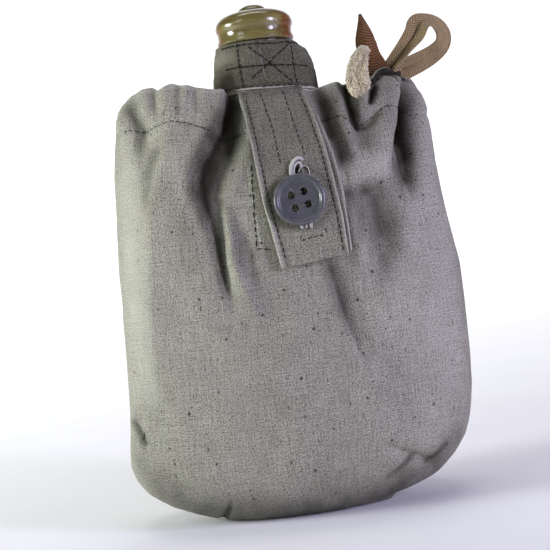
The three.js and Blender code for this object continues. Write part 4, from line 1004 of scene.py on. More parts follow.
def strap_sheet(name, xl, xr, lift0, thick, bottom, mat, body, node, cols=56, rows=150, edge_lift=0.35, hole=True):
    zs = np.linspace(bottom, 176.6, rows)
    s = np.linspace(0, 1, cols)
    Z = np.repeat(zs[:, None], cols, 1)
    XL, XR = xl(zs)[:, None], xr(zs)[:, None]
    wob = 0.18 * N3(zs[:, None] / 9 + lift0 * 7, s[None, :] * 0 + 1.5)
    X = XL + (XR - XL) * s[None, :] + wob
    # the lower edge is square to the strap, which leans
    lean = 0.10 * (1 - sstep(140, 170, Z))
    Z = Z + (X - (XL + XR) / 2) * lean
    edge = np.minimum(s, 1 - s)[None, :] * (XR - XL)
    lift = lift0 + 0.0 * Z
    # turned edges are thicker, the stitch rows pull down, and there is a soft wave along the strap
    lift = lift + 0.30 * np.exp(-((edge / 1.5) ** 2)) * 0.5
    lift = lift - 0.22 * np.exp(-(((edge - 2.0) / 0.7) ** 2))
    lift = lift + 0.25 * N1(X / 14 + 9, Z / 17) + 0.07 * N3(X / 4, Z / 5)
    lift = lift + edge_lift * sstep(4, 0, edge) * (0.5 + 0.5 * N2(Z / 12, X * 0 + 4))
    P, n = strap_surface(X, Z, lift)
    W = np.stack([X, Z, 0 * X], -1)
    V = P.reshape(-1, 3)
    F = []
    c0 = None
    if hole:
        # the buttonhole: one column splits and is drawn apart
        hx = 9.35
        mid = X[rows // 2]
        c0 = int(np.argmin(np.abs(X[int(rows * (132 - bottom) / (176.6 - bottom))] - hx)))
    idx = np.arange(rows * cols).reshape(rows, cols)
    right_of = idx.copy()
    extra, extraW = [], []
    if hole:
        zc, half = (HOLE_TOP + HOLE_BOTTOM) / 2, (HOLE_TOP - HOLE_BOTTOM) / 2
        for r in range(rows):
            z = Z[r, c0]
            k = 1 - ((z - zc) / half) ** 2
            if k > 0:
                w = 1.5 * k**0.5
                # draw neighbours aside as well
                for d in range(0, 5):
                    f = math.exp(-(d / 1.6) ** 2)
                    if c0 - d - 1 >= 0:
                        V[idx[r, c0 - d - 1]][0] -= w * f * 0.85
                    if c0 + d + 1 < cols:
                        V[idx[r, c0 + d + 1]][0] += w * f * 0.85
                base = V[idx[r, c0]].copy()
                V[idx[r, c0]][0] = base[0] - w
                extra.append(base + np.array([w, 0, 0]))
                extraW.append(W.reshape(-1, 3)[idx[r, c0]])
                right_of[r, c0] = rows * cols + len(extra) - 1
    for r in range(rows - 1):
        for c in range(cols - 1):
            a, b = (right_of if (hole and c == c0) else idx)[r, c], idx[r, c + 1]
            d, e = (right_of if (hole and c == c0) else idx)[r + 1, c], idx[r + 1, c + 1]
            F.append([a, b, e, d])
    W = W.reshape(-1, 3)
    if extra:
        V = np.concatenate([V, np.array(extra)])
        W = np.concatenate([W, np.array(extraW)])
    Xf = W[:, 0]
    edge_d = np.minimum(Xf - np.interp(W[:, 1], zs, xl(zs)), np.interp(W[:, 1], zs, xr(zs)) - Xf)
    # painted light and shade: lighter along the turned edges, darker in the grooves inside them and under the collar,
    # and a painted shadow ringing the button
    shading_and_soil = -0.42 * np.exp(-((edge_d / 0.75) ** 2)) + 0.30 * np.exp(-(((edge_d - 2.2) / 0.9) ** 2)) + 0.3 * np.exp(-(((W[:, 1] - 176) / 3.0) ** 2))
    shading_and_soil = shading_and_soil + 0.4 * np.exp(-((np.hypot(Xf - 9.4, W[:, 1] - 130) - 11.5) / 1.6) ** 2) * (W[:, 1] < 146)
    o = make(name, V, F, body, mat, W, shading_and_soil=shading_and_soil)
    thicken(o, thick, 1.0, 1)
    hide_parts(node)
    return o


lining = strap_sheet("strap_lining_cloth", lambda z: STRAP_L(z) + 0.9, lambda z: STRAP_R2(z), 0.5, 0.9, 106.2, M_STRAP, "strap", "strap_lining", edge_lift=0.2)
strap = strap_sheet("closure_strap_cloth", STRAP_L, STRAP_R, 1.95, 1.05, 105.2, M_STRAP, "strap", "closure_strap", edge_lift=0.5)


def strap_line(path, lift=2.95):
    R = resample(path)
    P, n = strap_surface(R[:, 0], R[:, 1], np.full(len(R), lift) + 0.25 * N1(R[:, 0] / 14 + 9, R[:, 1] / 17))
    return P, n


zz = np.linspace(107.6, 174.5, 30)
strap_lines = [
    strap_line(np.stack([STRAP_L(zz) + 2.4, zz], -1)),
    strap_line(np.stack([STRAP_R(zz) - 2.2, zz], -1)),
    strap_line([(-1.2, 175.2), (1.8, 158.4), (3.3, 143.8)]),
    strap_line([(7.8, 175.2), (10.2, 161.4), (12.8, 146.8)]),
    strap_line([(6.6, 114.0), (17.6, 115.3)]),
    strap_line([(6.6, 114.0), (7.6, 117.3)]),
    strap_line([(17.6, 115.3), (16.6, 118.3)]),
    strap_line([(0.8, 107.8), (23.0, 110.0)]),
]
strap_seams = stitch_mesh("strap_stitching", strap_lines[:-1], "strap", M_DARKTHREAD, length=2.2, gap=0.35, r=0.22, seed=5, wander=0.07)

# ---- button: thread and buttonhole ------------------------------------------------------------------
lo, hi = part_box("button")
bc = np.array([(lo[i] + hi[i]) / 2 for i in range(3)]) / MM
tilt = math.radians(7.2955)
out = np.array([0, -math.cos(tilt), math.sin(tilt)])
rightv = np.array([1, 0, 0.112])
rightv /= np.linalg.norm(rightv)
upv = np.cross(out, rightv)
upv /= np.linalg.norm(upv)


def at_button(a, b, c):
    """A point in the button's own frame: right, up, out from its middle."""
    return bc + rightv * a + upv * b + out * c


TV, TF, base = [], [], 0
spin = math.radians(4.5)
for sy in (-2.65, 2.65):
    for k in (-0.2, 0.25):
        pts = []
        for t in np.linspace(0, 1, 22):
            q = -2.3 + 4.6 * t
            c = 0.30 - 3.0 * max(0, abs(2 * t - 1) - 0.5) / 0.5
            u, w = q, sy + k + 0.3 * (t - 0.5) * (1 if sy > 0 else -1)
            pts.append(at_button(u * math.cos(spin) - w * math.sin(spin), u * math.sin(spin) + w * math.cos(spin), c))
        v, f = sweep("t", pts, 0.17, None, None, 7)
        TV.append(v)
        TF += [[base + i for i in q2] for q2 in f]
        base += len(v)
# the shank behind the button, down through the hole to the cover
for i, ph in enumerate(np.linspace(0, 2 * math.pi, 5, endpoint=False)):
    pts = [at_button(0.75 * math.cos(ph + 2.2 * t), 0.75 * math.sin(ph + 2.2 * t), -1.6 - 3.3 * t) for t in np.linspace(0, 1, 10)]
    v, f = sweep("t", pts, 0.42, None, None, 7)
    TV.append(v)
    TF += [[base + i2 for i2 in q] for q in f]
    base += len(v)
sewing = make("button_sewing", np.concatenate(TV), TF, "button", thread_mat("thread_button", (0.20, 0.21, 0.19), (0.05, 0.05, 0.045)))
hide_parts("button_thread")

# the buttonhole's overcast edge, thick and pale at its eye
rnd = np.random.default_rng(9)
HV, HF, base = [], [], 0
zc, half = (HOLE_TOP + HOLE_BOTTOM) / 2, (HOLE_TOP - HOLE_BOTTOM) / 2
ring = []
for a in np.linspace(0, 2 * np.pi, 150, endpoint=False):
    zz_ = zc + (half + 0.5) * math.sin(a)
    w = 1.9 * max(abs(math.cos(a)), 0.0) ** 0.8 + (1.5 * max(0, math.sin(a)) ** 6 if abs(math.cos(a)) > 0.02 else 0)
    ring.append((9.35 + math.copysign(w, math.cos(a)) + 0.06 * rnd.standard_normal(), zz_ + 0.06 * rnd.standard_normal()))
ring = np.array(ring)
P, n = strap_surface(ring[:, 0], ring[:, 1], np.full(len(ring), 3.0))
v, f = sweep("r", P, 0.42 + 0.08 * rnd.random(len(P)), None, None, 8)
HV.append(v); HF += [[base + i for i in q] for q in f]; base += len(v)
# whip stitches across the rim
for i in range(0, len(ring), 2):
    c = ring[i]
    d = c - np.array([9.35, np.clip(c[1], HOLE_BOTTOM + 2, HOLE_TOP - 2)])
    d /= max(np.linalg.norm(d), 1e-6)
    q = np.array([c + d * t for t in np.linspace(-0.6, 1.0, 7)])
    P, n = strap_surface(q[:, 0], q[:, 1], 2.75 + 0.6 * np.sin(np.linspace(0.3, np.pi - 0.1, 7)))
    v, f = sweep("w", P, 0.15 + 0.04 * rnd.random(), None, None, 6)
    HV.append(v); HF += [[base + k for k in g] for g in f]; base += len(v)
hole_rim = make("buttonhole_overcast", np.concatenate(HV), HF, "strap", M_STRAP)
HV, HF, base = [], [], 0
# loose ends: an arch over the eye and two tufts below
def loose(points, r=0.3):
    global base
    pts = resample(np.array(points, float), 0.25)
    k = np.hanning(9); k /= k.sum()
    pts = np.stack([np.convolve(np.pad(pts[:, i], 4, mode="edge"), k, mode="valid") for i in range(3)], -1)
    v, f = sweep("l", pts, r, None, None, 7)
    HV.append(v); HF.extend([[base + i for i in q] for q in f]); base += len(v)
def sp(x, z, l):
    P, n = strap_surface(np.array([x]), np.array([z]), np.array([l + 0.7]))
    return tuple(P[0])
loose([sp(6.5, 138.6, 2.4), sp(6.5, 140.8, 3.2), sp(6.9, 142.8, 3.6), sp(8.2, 144.7, 3.8), sp(9.9, 145.7, 3.6), sp(11.2, 145.4, 3.0), sp(11.7, 144.6, 2.3)], 0.72)
loose([sp(7.4, 139.2, 2.6), sp(7.6, 141.4, 3.2), sp(8.6, 143.2, 3.6), sp(10.0, 144.0, 3.6), sp(10.8, 143.2, 3.0), sp(10.6, 141.8, 2.6)], 0.58)
loose([sp(9.4, 140.0, 2.8), sp(10.4, 141.8, 3.0), sp(12.0, 142.6, 3.0), sp(13.3, 141.6, 2.8), sp(13.8, 139.6, 2.6), sp(13.6, 137.8, 2.2)], 0.26)
for x in (7.6, 8.3, 9.8, 10.9, 11.5):
    a, b = rnd.uniform(-0.7, 0.7, 2)
    loose([sp(x, 121.2, 2.5), sp(x + a * 0.4, 120.2, 3.2), sp(x + a, 119.3, 3.0), sp(x + a + b * 0.5, 118.7 - abs(b), 2.6)], 0.42)
hole_thread = make("buttonhole_thread", np.concatenate(HV), HF, "strap", M_PALETHREAD)

# ---- collar ---------------------------------------------------------------------------------------
def collar_point(phi, t, out_by=0.0):
    """phi from the front middle, anticlockwise seen from above; t 0 at the lower edge, 1 at the top."""
    phi, t = np.asarray(phi, float), np.asarray(t, float)
    a = 22.9 * (1 - t) + 17.2 * t + 0.5 * np.sin(np.pi * t) + out_by
    b = 21.0 * (1 - t) + 16.9 * t + 0.7 * np.sin(np.pi * t) + out_by
    n = 2.6 * (1 - t) + 2.1 * t
    c, s = np.sin(phi), -np.cos(phi)
    x = a * np.sign(c) * np.abs(c) ** (2 / n)
    y = b * np.sign(s) * np.abs(s) ** (2 / n)
    arc = 0.9 * np.clip(-y / b, 0, 1) ** 2
    z0 = 176.2 - 0.07 * x + arc
    z1 = 197.9 - 0.03 * x + 0.3 * N2(phi * 2, 0.5 + 0 * phi)
    z = z0 * (1 - t) + z1 * t
    x = x + 1.7 * (1 - t) - 0.2 * t + 2.5 * sstep(0.0, 0.7, t) * (1 - sstep(0.84, 1.0, t)) * np.clip(c, 0, 1) ** 2
    return np.stack([x, y, z], -1)


CC, CR = 180, 44
ph = np.linspace(0, 2 * np.pi, CC, endpoint=False)
tt = np.linspace(0, 1, CR)
PH, TT = np.meshgrid(ph, tt)
wr = 0.30 * N1(PH * 3.0, TT * 2.2) + 0.10 * N3(PH * 12, TT * 9)
wr += 0.35 * np.exp(-(((TT - 0.0) / 0.05) ** 2))
wr -= 0.28 * np.exp(-(((TT - 0.91) / 0.03) ** 2)) + 0.22 * np.exp(-(((TT - 0.48) / 0.03) ** 2))
# the left side is drawn in under the front
wr -= 1.3 * np.exp(-(((PH - 2 * np.pi + 1.05) / 0.35) ** 2)) * (1 - TT) ** 1.5
CP = collar_point(PH, TT)
cn = normals_of(np.concatenate([CP, CP[:, :1]], 1))[:, :-1]
rad = CP.copy(); rad[..., 2] = 0
flip = np.sign((cn * rad).sum(-1, keepdims=True)); cn = cn * flip
CP = CP + cn * wr[..., None]
circ = ph / (2 * np.pi) * 120
WV = np.stack([np.broadcast_to(circ, PH.shape), TT * 20.5, 0 * TT], -1)
# painted shade and light on the collar: darker where its left side is drawn in and in a band just above the lower edge,
# lighter along the very lower edge and a little lighter on the left of its front
collar_shading = 1.4 * np.exp(-(((CP[..., 0] + 13.8) / 4.0) ** 2) - ((TT - 0.2) / 0.25) ** 2) * (CP[..., 1] < 6)
collar_shading = collar_shading + 0.5 * np.exp(-(((TT - 0.085) / 0.03) ** 2)) - 0.62 * np.exp(-(((TT - 0.012) / 0.028) ** 2)) - 0.16 * np.exp(-(((CP[..., 0] + 15) / 6.0) ** 2) - ((TT - 0.62) / 0.3) ** 2) * (CP[..., 1] < 0)
collar = make("neck_collar_cloth", CP.reshape(-1, 3), grid_faces(CR, CC, wrap=True), "collar", M_COLLAR, WV.reshape(-1, 3), shading_and_soil=np.clip(collar_shading, -0.8, 1.0))
thicken(collar, 0.9, -1.0, 1)
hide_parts("neck_collar")
# the facing inside the collar, whose pale folded edge shows below the outer cloth
FP = collar_point(PH, TT * 0.96 - 0.045, -1.0)
facing = make("collar_facing", FP.reshape(-1, 3), grid_faces(CR, CC, wrap=True), "collar", M_STRAP, WV.reshape(-1, 3))
thicken(facing, 0.5, -1.0)


def collar_line(path, lift=0.05):
    """path of (x, share of height) on the collar's front."""
    R = resample(np.array([(x, t * 20.5) for x, t in path]), 0.4)
    x, t = R[:, 0], R[:, 1] / 20.5
    a = 22.9 * (1 - t) + 17.2 * t + 0.5 * np.sin(np.pi * t)
    n = 2.6 * (1 - t) + 2.1 * t
    xc = x - (1.7 * (1 - t) - 0.2 * t)
    c = np.sign(xc) * np.clip(np.abs(xc) / a, 0, 0.999) ** (n / 2)
    phi = np.arcsin(c)
    P = collar_point(phi, t)
    e = 1e-3
    A = collar_point(phi + e, t) - collar_point(phi - e, t)
    B = collar_point(phi, t + e) - collar_point(phi, t - e)
    N = np.cross(A, B)
    N /= np.linalg.norm(N, axis=1, keepdims=True)
    N *= np.sign(-N[:, 1:2])
    w = 0.30 * N1(np.mod(phi, 2 * np.pi) * 3.0, t * 2.2)
    return P + N * (lift + w[:, None]), N


ctop = [(x, 0.915) for x in np.linspace(-14.8, 16.3, 30)]
collar_lines = [
    collar_line([(-8.3, 0.97), (-8.0, 0.5), (-7.4, 0.03)]),
    collar_line([(12.6, 0.97), (13.4, 0.5), (14.4, 0.03)]),
    collar_line([(-3.8, 0.88), (4.5, 0.5), (13.8, 0.06)]),
    collar_line([(12.2, 0.88), (4.0, 0.5), (-5.4, 0.16)]),
    collar_line([(-14.5, 0.46), (-6, 0.47), (4, 0.46), (13, 0.46), (19.4, 0.44)]),
    collar_line(ctop),
    collar_line([(-17.5, 0.06), (-10, 0.055), (2, 0.05), (13, 0.05), (20, 0.05)]),
]
stitch_mesh("collar_stitching", collar_lines, "collar", M_DARKTHREAD, length=2.6, gap=0.12, r=0.27, seed=8, wander=0.07)
chalk = collar_line([(1.0, 0.86), (1.3, 0.5), (1.7, 0.12)], lift=0.02)
stitch_mesh("collar_pale_thread", [chalk], "collar", M_GREYTHREAD, length=3.4, gap=0.8, r=0.13, seed=2)

# ---- stitching on the cover ---------------------------------------------------------------------
xs1 = np.linspace(-60, STRAP_L(161) - 0.4, 60)
xs2 = np.linspace(STRAP_R2(161) + 0.4, 54.5, 40)
xs3 = np.linspace(58.5, 64.0, 8)
lines = [
    cover_line(np.stack([xs1, HEM_LINE(xs1)], -1), jitter=0.15),
    cover_line(np.stack([xs2, HEM_LINE(xs2)], -1), jitter=0.15, seed=4),
    cover_line(np.stack([xs3, HEM_LINE(xs3)], -1), jitter=0.1, seed=6),
]
stitch_mesh("hem_stitching", lines, "cover", M_DARKTHREAD, length=2.3, gap=0.5, r=0.16, seed=12, wander=0.05)
plines = [
    cover_line([(-8.6, 146.4), (-9.4, 134), (-10.6, 113.2), (-3.6, 111.9)], jitter=0.12),
    cover_line([(-69.6, 39.8), (-68.3, 41.8), (-66.4, 43.6)], jitter=0.1, seed=9),
]
stitch_mesh("patch_stitching", plines, "cover", M_DARKTHREAD, length=2.5, gap=0.5, r=0.22, seed=14, wander=0.07)
bx = np.linspace(-58, 58, 90)
bl = [on_cover(bx, top_back(bx) - HEM + 0.1, 1, 0.1)]
bl[0] = (bl[0][0], bl[0][1])
stitch_mesh("back_hem_stitching", bl, "cover", M_DARKTHREAD, length=2.3, gap=0.6, r=0.21, seed=15)

# the patch inside the front that the button is sewn through
zs = np.linspace(111, 147, 30)
Xp = np.repeat(np.linspace(0, 1, 24)[None], 30, 0) * 27.0 + (4.6 + 0.112 * (176 - zs))[:, None] - 16.7
Zp = np.repeat(zs[:, None], 24, 1)
Pp, npp = on_cover(Xp, Zp, -1, -1.3)
patch = make("button_patch_cloth", Pp.reshape(-1, 3), grid_faces(30, 24), "cover", M_CANVAS, np.stack([Xp, Zp, 0 * Xp], -1).reshape(-1, 3))
thicken(patch, 0.6, -1.0)
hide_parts("button_patch")

# ---- the back: tab and belt loop -------------------------------------------------------------------
def band_on_back(name, xs, prof, width, mat, node, thick, cols, rows, body="cover", sag=0.0):
    """prof: (z, distance off the undisturbed back) pairs; a strip sewn to the back panel."""
    s = np.linspace(0, 1, rows)
    pz = np.array([p[0] for p in prof], float)
    pd = np.array([p[1] for p in prof], float)
    L = np.r_[0, np.cumsum(np.hypot(np.diff(pz), np.diff(pd + deep(pz))))]
    L /= L[-1]
    k = np.hanning(9); k /= k.sum()
    z = np.interp(s, L, pz)
    d = np.interp(s, L, pd)
    d = np.convolve(np.pad(d, 4, mode="edge"), k, mode="valid")
    u = np.linspace(-0.5, 0.5, cols)
    X = np.repeat(u[None, :] * width + xs, rows, 0)
    Z = np.repeat(z[:, None], cols, 1)
    P, n = on_cover(X, Z, 1, 0.0)
    mid = P[:, cols // 2, 1][:, None]
    stand = sstep(2.0, 4.5, d)[:, None]
    Y = P[..., 1] * (1 - stand) + (mid - 0.4 * (u[None, :] * 2) ** 2) * stand + d[:, None]
    edge = np.minimum(u + 0.5, 0.5 - u)[None, :] * width
    Y = Y + 0.25 * np.exp(-((edge / 1.4) ** 2)) - 0.15 * np.exp(-(((edge - 2.4) / 0.7) ** 2)) + 0.2 * N1(X / 13, Z / 15)
    G = np.stack([X + 0.15 * N2(Z / 8, X * 0), Y, Z], -1)
    W = np.stack([X, Z, 0 * X], -1)
    o = make(name, G.reshape(-1, 3), grid_faces(rows, cols)[:, ::-1], body, mat, W.reshape(-1, 3))
    thicken(o, thick, 1.0, 1)
    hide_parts(node)
    return o, G


tab, TG = band_on_back("collar_tab_cloth", 0.0, [(155.6, 0.3), (161, 0.35), (166, 0.4), (171, 0.5), (175.4, -0.2)], 26.0, M_STRAP, "collar_tab", 0.9, 40, 50)
loop, LG = band_on_back("belt_loop_cloth", 0.0,
    [(88.8, 0.3), (96.6, 0.35), (99.2, 3.4), (101.0, 6.0), (105.5, 6.9), (115, 7.2), (128, 7.7), (140, 8.2), (149, 8.6), (154, 7.8), (157, 5.2), (159.3, 2.9), (162, 2.0), (167, 1.9)],
    46.0, M_STRAP, "belt_loop", 1.0, 60, 130)


def back_lines(G, rows, cols_from, cols_to, lift=1.05):
    out_ = []
    n = normals_of(G)
    n = n * np.sign(n[..., 1:2])
    for r in rows:
        seg = slice(cols_from, cols_to)
        out_.append((G[r, seg] + n[r, seg] * lift, n[r, seg]))
    return out_


def back_cols(G, cols, r0, r1, lift=1.05):
    n = normals_of(G)
    n = n * np.sign(n[..., 1:2])
    return [(G[r0:r1, c] + n[r0:r1, c] * lift, n[r0:r1, c]) for c in cols]


bl2 = back_lines(LG, [3, 9, len(LG) - 4, len(LG) - 10], 3, 57) + back_cols(LG, [3, 56], 2, len(LG) - 2) + back_lines(TG, [3, 12], 3, 37, 0.95) + back_cols(TG, [3, 36], 2, len(TG) - 2, 0.95)
stitch_mesh("back_stitching", bl2, "cover", M_DARKTHREAD, length=2.3, gap=0.5, r=0.24, seed=21)

# ---- drawstring -----------------------------------------------------------------------------------
def catmull(points, samples):
    P = np.asarray(points, float)
    P = np.vstack([2 * P[0] - P[1], P, 2 * P[-1] - P[-2]])
    out_ = []
    K = len(P) - 3
    for i in range(samples):
        u = i / (samples - 1) * K
        j = min(int(u), K - 1)
        t = u - j
        p0, p1, p2, p3 = P[j : j + 4]
        out_.append(0.5 * (2 * p1 + (p2 - p0) * t + (2 * p0 - 5 * p1 + 4 * p2 - p3) * t * t + (3 * p1 - 3 * p2 + p3 - p0) * t**3))
    return np.array(out_)


def ribbon(name, pts, body, mat, node, width=10.0, thick=0.9, samples=90, across=15, fold=None, camber=0.0, fray=0.0, seed=1, widths=None, crease_shade=0.0):
    """Tape along points of (x, y, z, turn): turn 0 shows its width to the front. fold is the V it is
    creased into along its middle, in degrees, at each point."""
    C = catmull(pts, samples)
    P, turn = C[:, :3], np.radians(C[:, 3])
    T = np.gradient(P, axis=0)
    T /= np.linalg.norm(T, axis=1, keepdims=True)
    flat = np.cross(T, [0, 1, 0])
    flat /= np.linalg.norm(flat, axis=1, keepdims=True)
    deepv = np.cross(flat, T)
    A = flat * np.cos(turn)[:, None] + deepv * np.sin(turn)[:, None]
    N = np.cross(T, A)
    s = np.linspace(-1, 1, across)
    q = np.linspace(0, 1, samples)
    fv = np.radians(np.interp(q, np.linspace(0, 1, len(fold)), fold)) if fold is not None else np.zeros(samples)
    wv = np.interp(q, np.linspace(0, 1, len(widths)), widths) if widths is not None else np.full(samples, width)
    r = np.random.default_rng(seed)
    half = wv[:, None] / 2 * s[None, :]
    x = half * np.cos(fv)[:, None]
    h = np.abs(half) * np.sin(fv)[:, None] + camber * (1 - s[None, :] ** 2) * wv[:, None] / 10
    h = h + 0.12 * N2(s[None, :] * 2 + seed, q[:, None] * 9)
    if fray:
        jag = fray * r.standard_normal((samples, across)) * (np.abs(s[None, :]) > 0.8)
        x = x + jag
        h = h + 0.35 * fray * r.standard_normal((samples, across)) + 0.45 * N3(s[None, :] * 3.1, q[:, None] * 11)
    G = P[:, None] + A[:, None] * x[..., None] + N[:, None] * h[..., None]
    L = np.r_[0, np.cumsum(np.linalg.norm(np.diff(P, axis=0), axis=1))]
    W = np.stack([np.broadcast_to(s[None, :] * 5.0, x.shape), np.repeat(L[:, None], across, 1), 0 * x], -1)
    # painted shade along the middle crease of a folded tape
    shading_and_soil = crease_shade * np.exp(-((s[None, :] / 0.13) ** 2)) * np.clip(np.degrees(fv)[:, None] / 30, 0, 1)
    o = make(name, G.reshape(-1, 3), grid_faces(samples, across), body, mat, W.reshape(-1, 3), shading_and_soil=shading_and_soil)
    thicken(o, thick, 0.0, 1)
    if node:
        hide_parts(node)
    return o, P, L[-1], G, N


loop_pts = [
    (53.6, -5.0, 178.4, 40), (57.8, -5.8, 183.0, 30), (62.2, -6.6, 188.0, 18), (66.2, -7.2, 193.0, 6), (68.9, -7.2, 196.9, 25), (72.8, -6.4, 198.4, 46),
    (77.0, -5.0, 196.4, 40), (79.2, -3.6, 192.2, 34), (78.1, -2.4, 188.0, 32), (74.0, -1.4, 184.8, 30), (67.8, -1.0, 182.3, 26), (62.2, -1.2, 180.6, 24), (57.0, -1.6, 179.0, 24),
]
loop_o, loop_path, loop_len, _, _ = ribbon("drawstring_loop_tape", loop_pts, "cover", M_TAPE, "drawstring_loop", samples=130, across=21,
    fold=[34, 40, 42, 36, 18, 0, -8, -8, -4, 0, 6, 14, 20], widths=[8.0, 8.6, 9.4, 10.6, 10.2, 8.8, 8.2, 8.0, 8.0, 8.4, 9.2, 9.8, 9.0], seed=3, crease_shade=0.95)
tail_pts = [(53.0, -3.0, 173.0, 10), (49.6, -4.8, 179.2, 8), (46.9, -6.8, 186.0, 2), (45.7, -7.6, 191.3, 0), (45.5, -7.2, 195.2, 0), (45.4, -6.4, 198.5, 0), (45.2, -5.6, 201.5, -4), (44.8, -5.0, 204.8, -10)]
tail_o, tail_path, tail_len, _, _ = ribbon("drawstring_tail_tape", tail_pts, "cover", M_TAPE_SHADED, "drawstring_tail", samples=80, across=17, fold=[30, 14, -10, -18, -22, -26, -30, -36],
    widths=[12.0, 10.6, 8.8, 9.2, 8.2, 6.0, 3.6, 0.6], camber=0.9, seed=5)
end_pts = [(51.2, -2.0, 180.4, 30), (48.0, -4.0, 184.6, 16), (45.6, -8.0, 187.6, 6), (43.6, -13.4, 188.9, 0), (42.2, -17.4, 187.2, 0), (40.8, -19.2, 184.0, 0), (39.3, -20.2, 180.0, 0), (38.8, -21.2, 176.0, 0), (39.2, -21.6, 172.6, 0), (40.2, -21.2, 170.4, 0)]
end_o, end_path, end_len, EG, EN = ribbon("drawstring_end_tape", end_pts, "cover", M_FRAY, "drawstring_end", samples=100, across=29, fold=[50, 20, 0, 0, 0, 6, 10, 12, 14, 16],
    widths=[4.0, 4.0, 3.6, 3.0, 4.6, 7.4, 8.8, 9.8, 10.2, 7.0], camber=1.1, fray=0.22, seed=7, thick=1.0)
# loosened yarns over the frayed end
rnd2 = np.random.default_rng(31)
FV, FF, fbase = [], [], 0
for i in range(260):
    r0 = int(rnd2.uniform(38, 97))
    c0_ = int(np.clip(rnd2.normal(14, 7.5), 2, 26))
    start = EG[r0, c0_] + np.sign(-EN[r0, 1]) * EN[r0] * 0.45
    downv = EG[min(r0 + 2, 99), c0_] - EG[r0, c0_]
    downv /= max(np.linalg.norm(downv), 1e-6)
    sidev = EG[r0, min(c0_ + 1, 28)] - EG[r0, max(c0_ - 1, 0)]
    sidev /= max(np.linalg.norm(sidev), 1e-6)
    outv = np.sign(-EN[r0, 1]) * EN[r0]
    a1, a2, ln = rnd2.uniform(-0.9, 0.9), rnd2.uniform(-0.9, 0.9), rnd2.uniform(0.9, 2.1)
    edge_push = (c0_ - 14) / 14.0
    pts = []
    for t in np.linspace(0, 1, 7):
        pts.append(start + downv * ln * t * (0.9 if rnd2.random() else 0.9) + sidev * ln * (a1 * t * 0.7 + 0.05 * edge_push * t + a2 * 0.4 * math.sin(3 * t)) + outv * (0.15 + 0.5 * math.sin(math.pi * t) * abs(a2)))
    v, f = sweep("f", pts, np.linspace(0.17, 0.09, 7), None, None, 5)
    FV.append(v)
    FF += [[fbase + k for k in g] for g in f]
    fbase += len(v)
fray_o = make("drawstring_end_fray", np.concatenate(FV), FF, "cover", thread_mat("thread_tape", (0.95, 0.87, 0.63), (0.34, 0.28, 0.15)))
# the knot: the tape wound tightly on itself where it leaves the hem
KP = []
for t in np.linspace(0, 1, 60):
    a = t * 2 * math.pi * 1.6 - 0.5
    KP.append((54.4 + 3.0 * math.cos(a), -3.2 + 3.4 * math.sin(a), 177.2 + 1.4 * math.sin(a * 1.25 + 0.6) + 0.4 * t, 90))
knot_o, _, _, _, _ = ribbon("drawstring_knot_tape", KP[::4], "cover", M_TAPE, "drawstring_knot", samples=110, across=9, widths=[5.0, 5.0], camber=1.2, seed=9)

# the run inside the hem
RP = []
for side, ang in ((-1, np.linspace(0.93, 0.06, 60)), (1, np.linspace(0.06, 0.94, 60))):
    phi = ang * np.pi
    x0 = base_point(phi, np.full(60, 176.0), side)[0]
    z = ((HEM_LINE(x0) + top_front(x0)) / 2 if side < 0 else top_back(x0) - HEM / 2)
    P, n = cover_surface(phi, z, side)
    RP.append(P - n * 3.1)
RP = np.concatenate(RP)
NX = np.gradient(RP, axis=0)
NX /= np.linalg.norm(NX, axis=1, keepdims=True)
upz = np.array([0, 0, 1.0])
Wd = upz - NX * (NX @ upz)[:, None]
Wd /= np.linalg.norm(Wd, axis=1, keepdims=True)
s = np.linspace(-1, 1, 7)
G = RP[:, None] + Wd[:, None] * (s[None, :, None] * 2.1)
L = np.r_[0, np.cumsum(np.linalg.norm(np.diff(RP, axis=0), axis=1))]
Wv = np.stack([np.broadcast_to(s[None] * 5, G.shape[:2]), np.repeat(L[:, None], 7, 1), np.zeros(G.shape[:2])], -1)
run_o = make("drawstring_run_tape", G.reshape(-1, 3), grid_faces(len(RP), 7), "cover", M_TAPE, Wv.reshape(-1, 3))
thicken(run_o, 0.7, 0.0)
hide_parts("drawstring_run")

for piece in (strap, lining, strap_seams):
    bend_between(piece)
bend_between(tab)

# ---- stage, light and camera ----------------------------------------------------------------------
def stage_mat():
    m = Nodes("stage_paper")
    n = m.noise(m.vec(), 0.02, 2.0)
    m.put(m.bsdf.inputs["Base Color"], m.mix(n, (0.80, 0.80, 0.80), (0.84, 0.84, 0.84)))
    m.bsdf.inputs["Roughness"].default_value = 0.95
    m.bsdf.inputs["Specular IOR Level"].default_value = 0.1
    return m.mat


SV, SF = [], []
prof = [(-2.2, 0.0), (0.9, 0.0)] + [(0.9 + 0.6 * math.sin(a), 0.6 - 0.6 * math.cos(a)) for a in np.linspace(0.1, math.pi / 2, 12)] + [(1.5, 3.2)]
for i, (y, z) in enumerate(prof):
    SV += [(-3.2, y, z - 0.0006), (3.2, y, z - 0.0006)]
    if i:
        SF.append((2 * i - 2, 2 * i - 1, 2 * i + 1, 2 * i))
sm = bpy.data.meshes.new("stage_sweep")
sm.from_pydata(SV, [], SF)
sm.polygons.foreach_set("use_smooth", [True] * len(sm.polygons))
so = bpy.data.objects.new("stage_sweep", sm)
sm.materials.append(stage_mat())
scene.collection.objects.link(so)


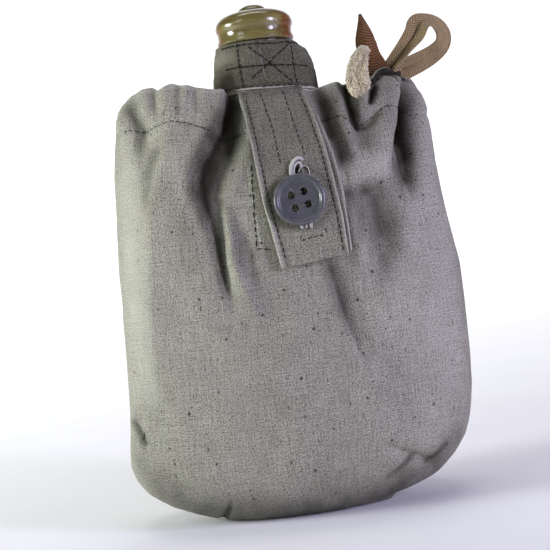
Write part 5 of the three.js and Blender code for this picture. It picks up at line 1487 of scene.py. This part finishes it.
def area(name, at, target, size, power, colour, size_y=None):
    l = bpy.data.lights.new(name, "AREA")
    l.shape = "RECTANGLE"
    l.size = size
    l.size_y = size_y or size
    l.energy = power
    l.color = colour
    o = bpy.data.objects.new(name, l)
    o.location = at
    o.rotation_euler = (Vector(target) - Vector(at)).to_track_quat("-Z", "Y").to_euler()
    scene.collection.objects.link(o)
    return o


mid_pt = (0.0, 0.0, 0.10)


def aimed(name, az, el, reach, size, size_y, power, colour):
    a, e = math.radians(az), math.radians(el)
    at = (math.sin(a) * math.cos(e) * reach, -math.cos(a) * math.cos(e) * reach, math.sin(e) * reach + 0.1)
    return area(name, at, mid_pt, size, power, colour, size_y)


aimed("key_left", -80, 12, 1.0, 0.30, 0.34, 10.3, (1.0, 1.04, 1.06))
aimed("key_left_front", -46, 30, 1.0, 0.30, 0.36, 1.2, (1.0, 1.02, 1.08))
aimed("window_right_a", 53, 13, 1.0, 0.16, 0.42, 6.3, (1.0, 0.94, 1.36))
aimed("window_right_b", 70, 8, 1.0, 0.16, 0.42, 0.9, (1.0, 0.92, 1.50))
wash = area("back_wash", (0.0, 0.45, 1.8), (0, 1.45, 0.35), 1.2, 17.0, (1.0, 1.0, 1.0))
wash.data.spread = math.radians(110)
world = bpy.data.worlds.new("world")
scene.world = world
world.use_nodes = True
bg = world.node_tree.nodes["Background"]
bg.inputs["Color"].default_value = (1.0, 1.0, 1.0, 1.0)
bg.inputs["Strength"].default_value = 0.03

cam = bpy.data.cameras.new("camera")
cam.sensor_fit = "HORIZONTAL"
cam.sensor_width = 36.0
cam.lens = 36.0 * 1135.3 / 550.0
cam.clip_start = 0.01
co = bpy.data.objects.new("camera", cam)
scene.collection.objects.link(co)
el, roll, dist = math.radians(2.48), math.radians(7.52), 0.4866
fwd = Vector((0, math.cos(el), -math.sin(el)))
rt = Vector((1, 0, 0))
up = rt.cross(fwd)
pos = Vector((-0.00484, 0, 0.10038)) - fwd * dist
rc = rt * math.cos(roll) - up * math.sin(roll)
uc = rt * math.sin(roll) + up * math.cos(roll)
co.matrix_world = Matrix(((rc.x, uc.x, -fwd.x, pos.x), (rc.y, uc.y, -fwd.y, pos.y), (rc.z, uc.z, -fwd.z, pos.z), (0, 0, 0, 1)))
scene.camera = co
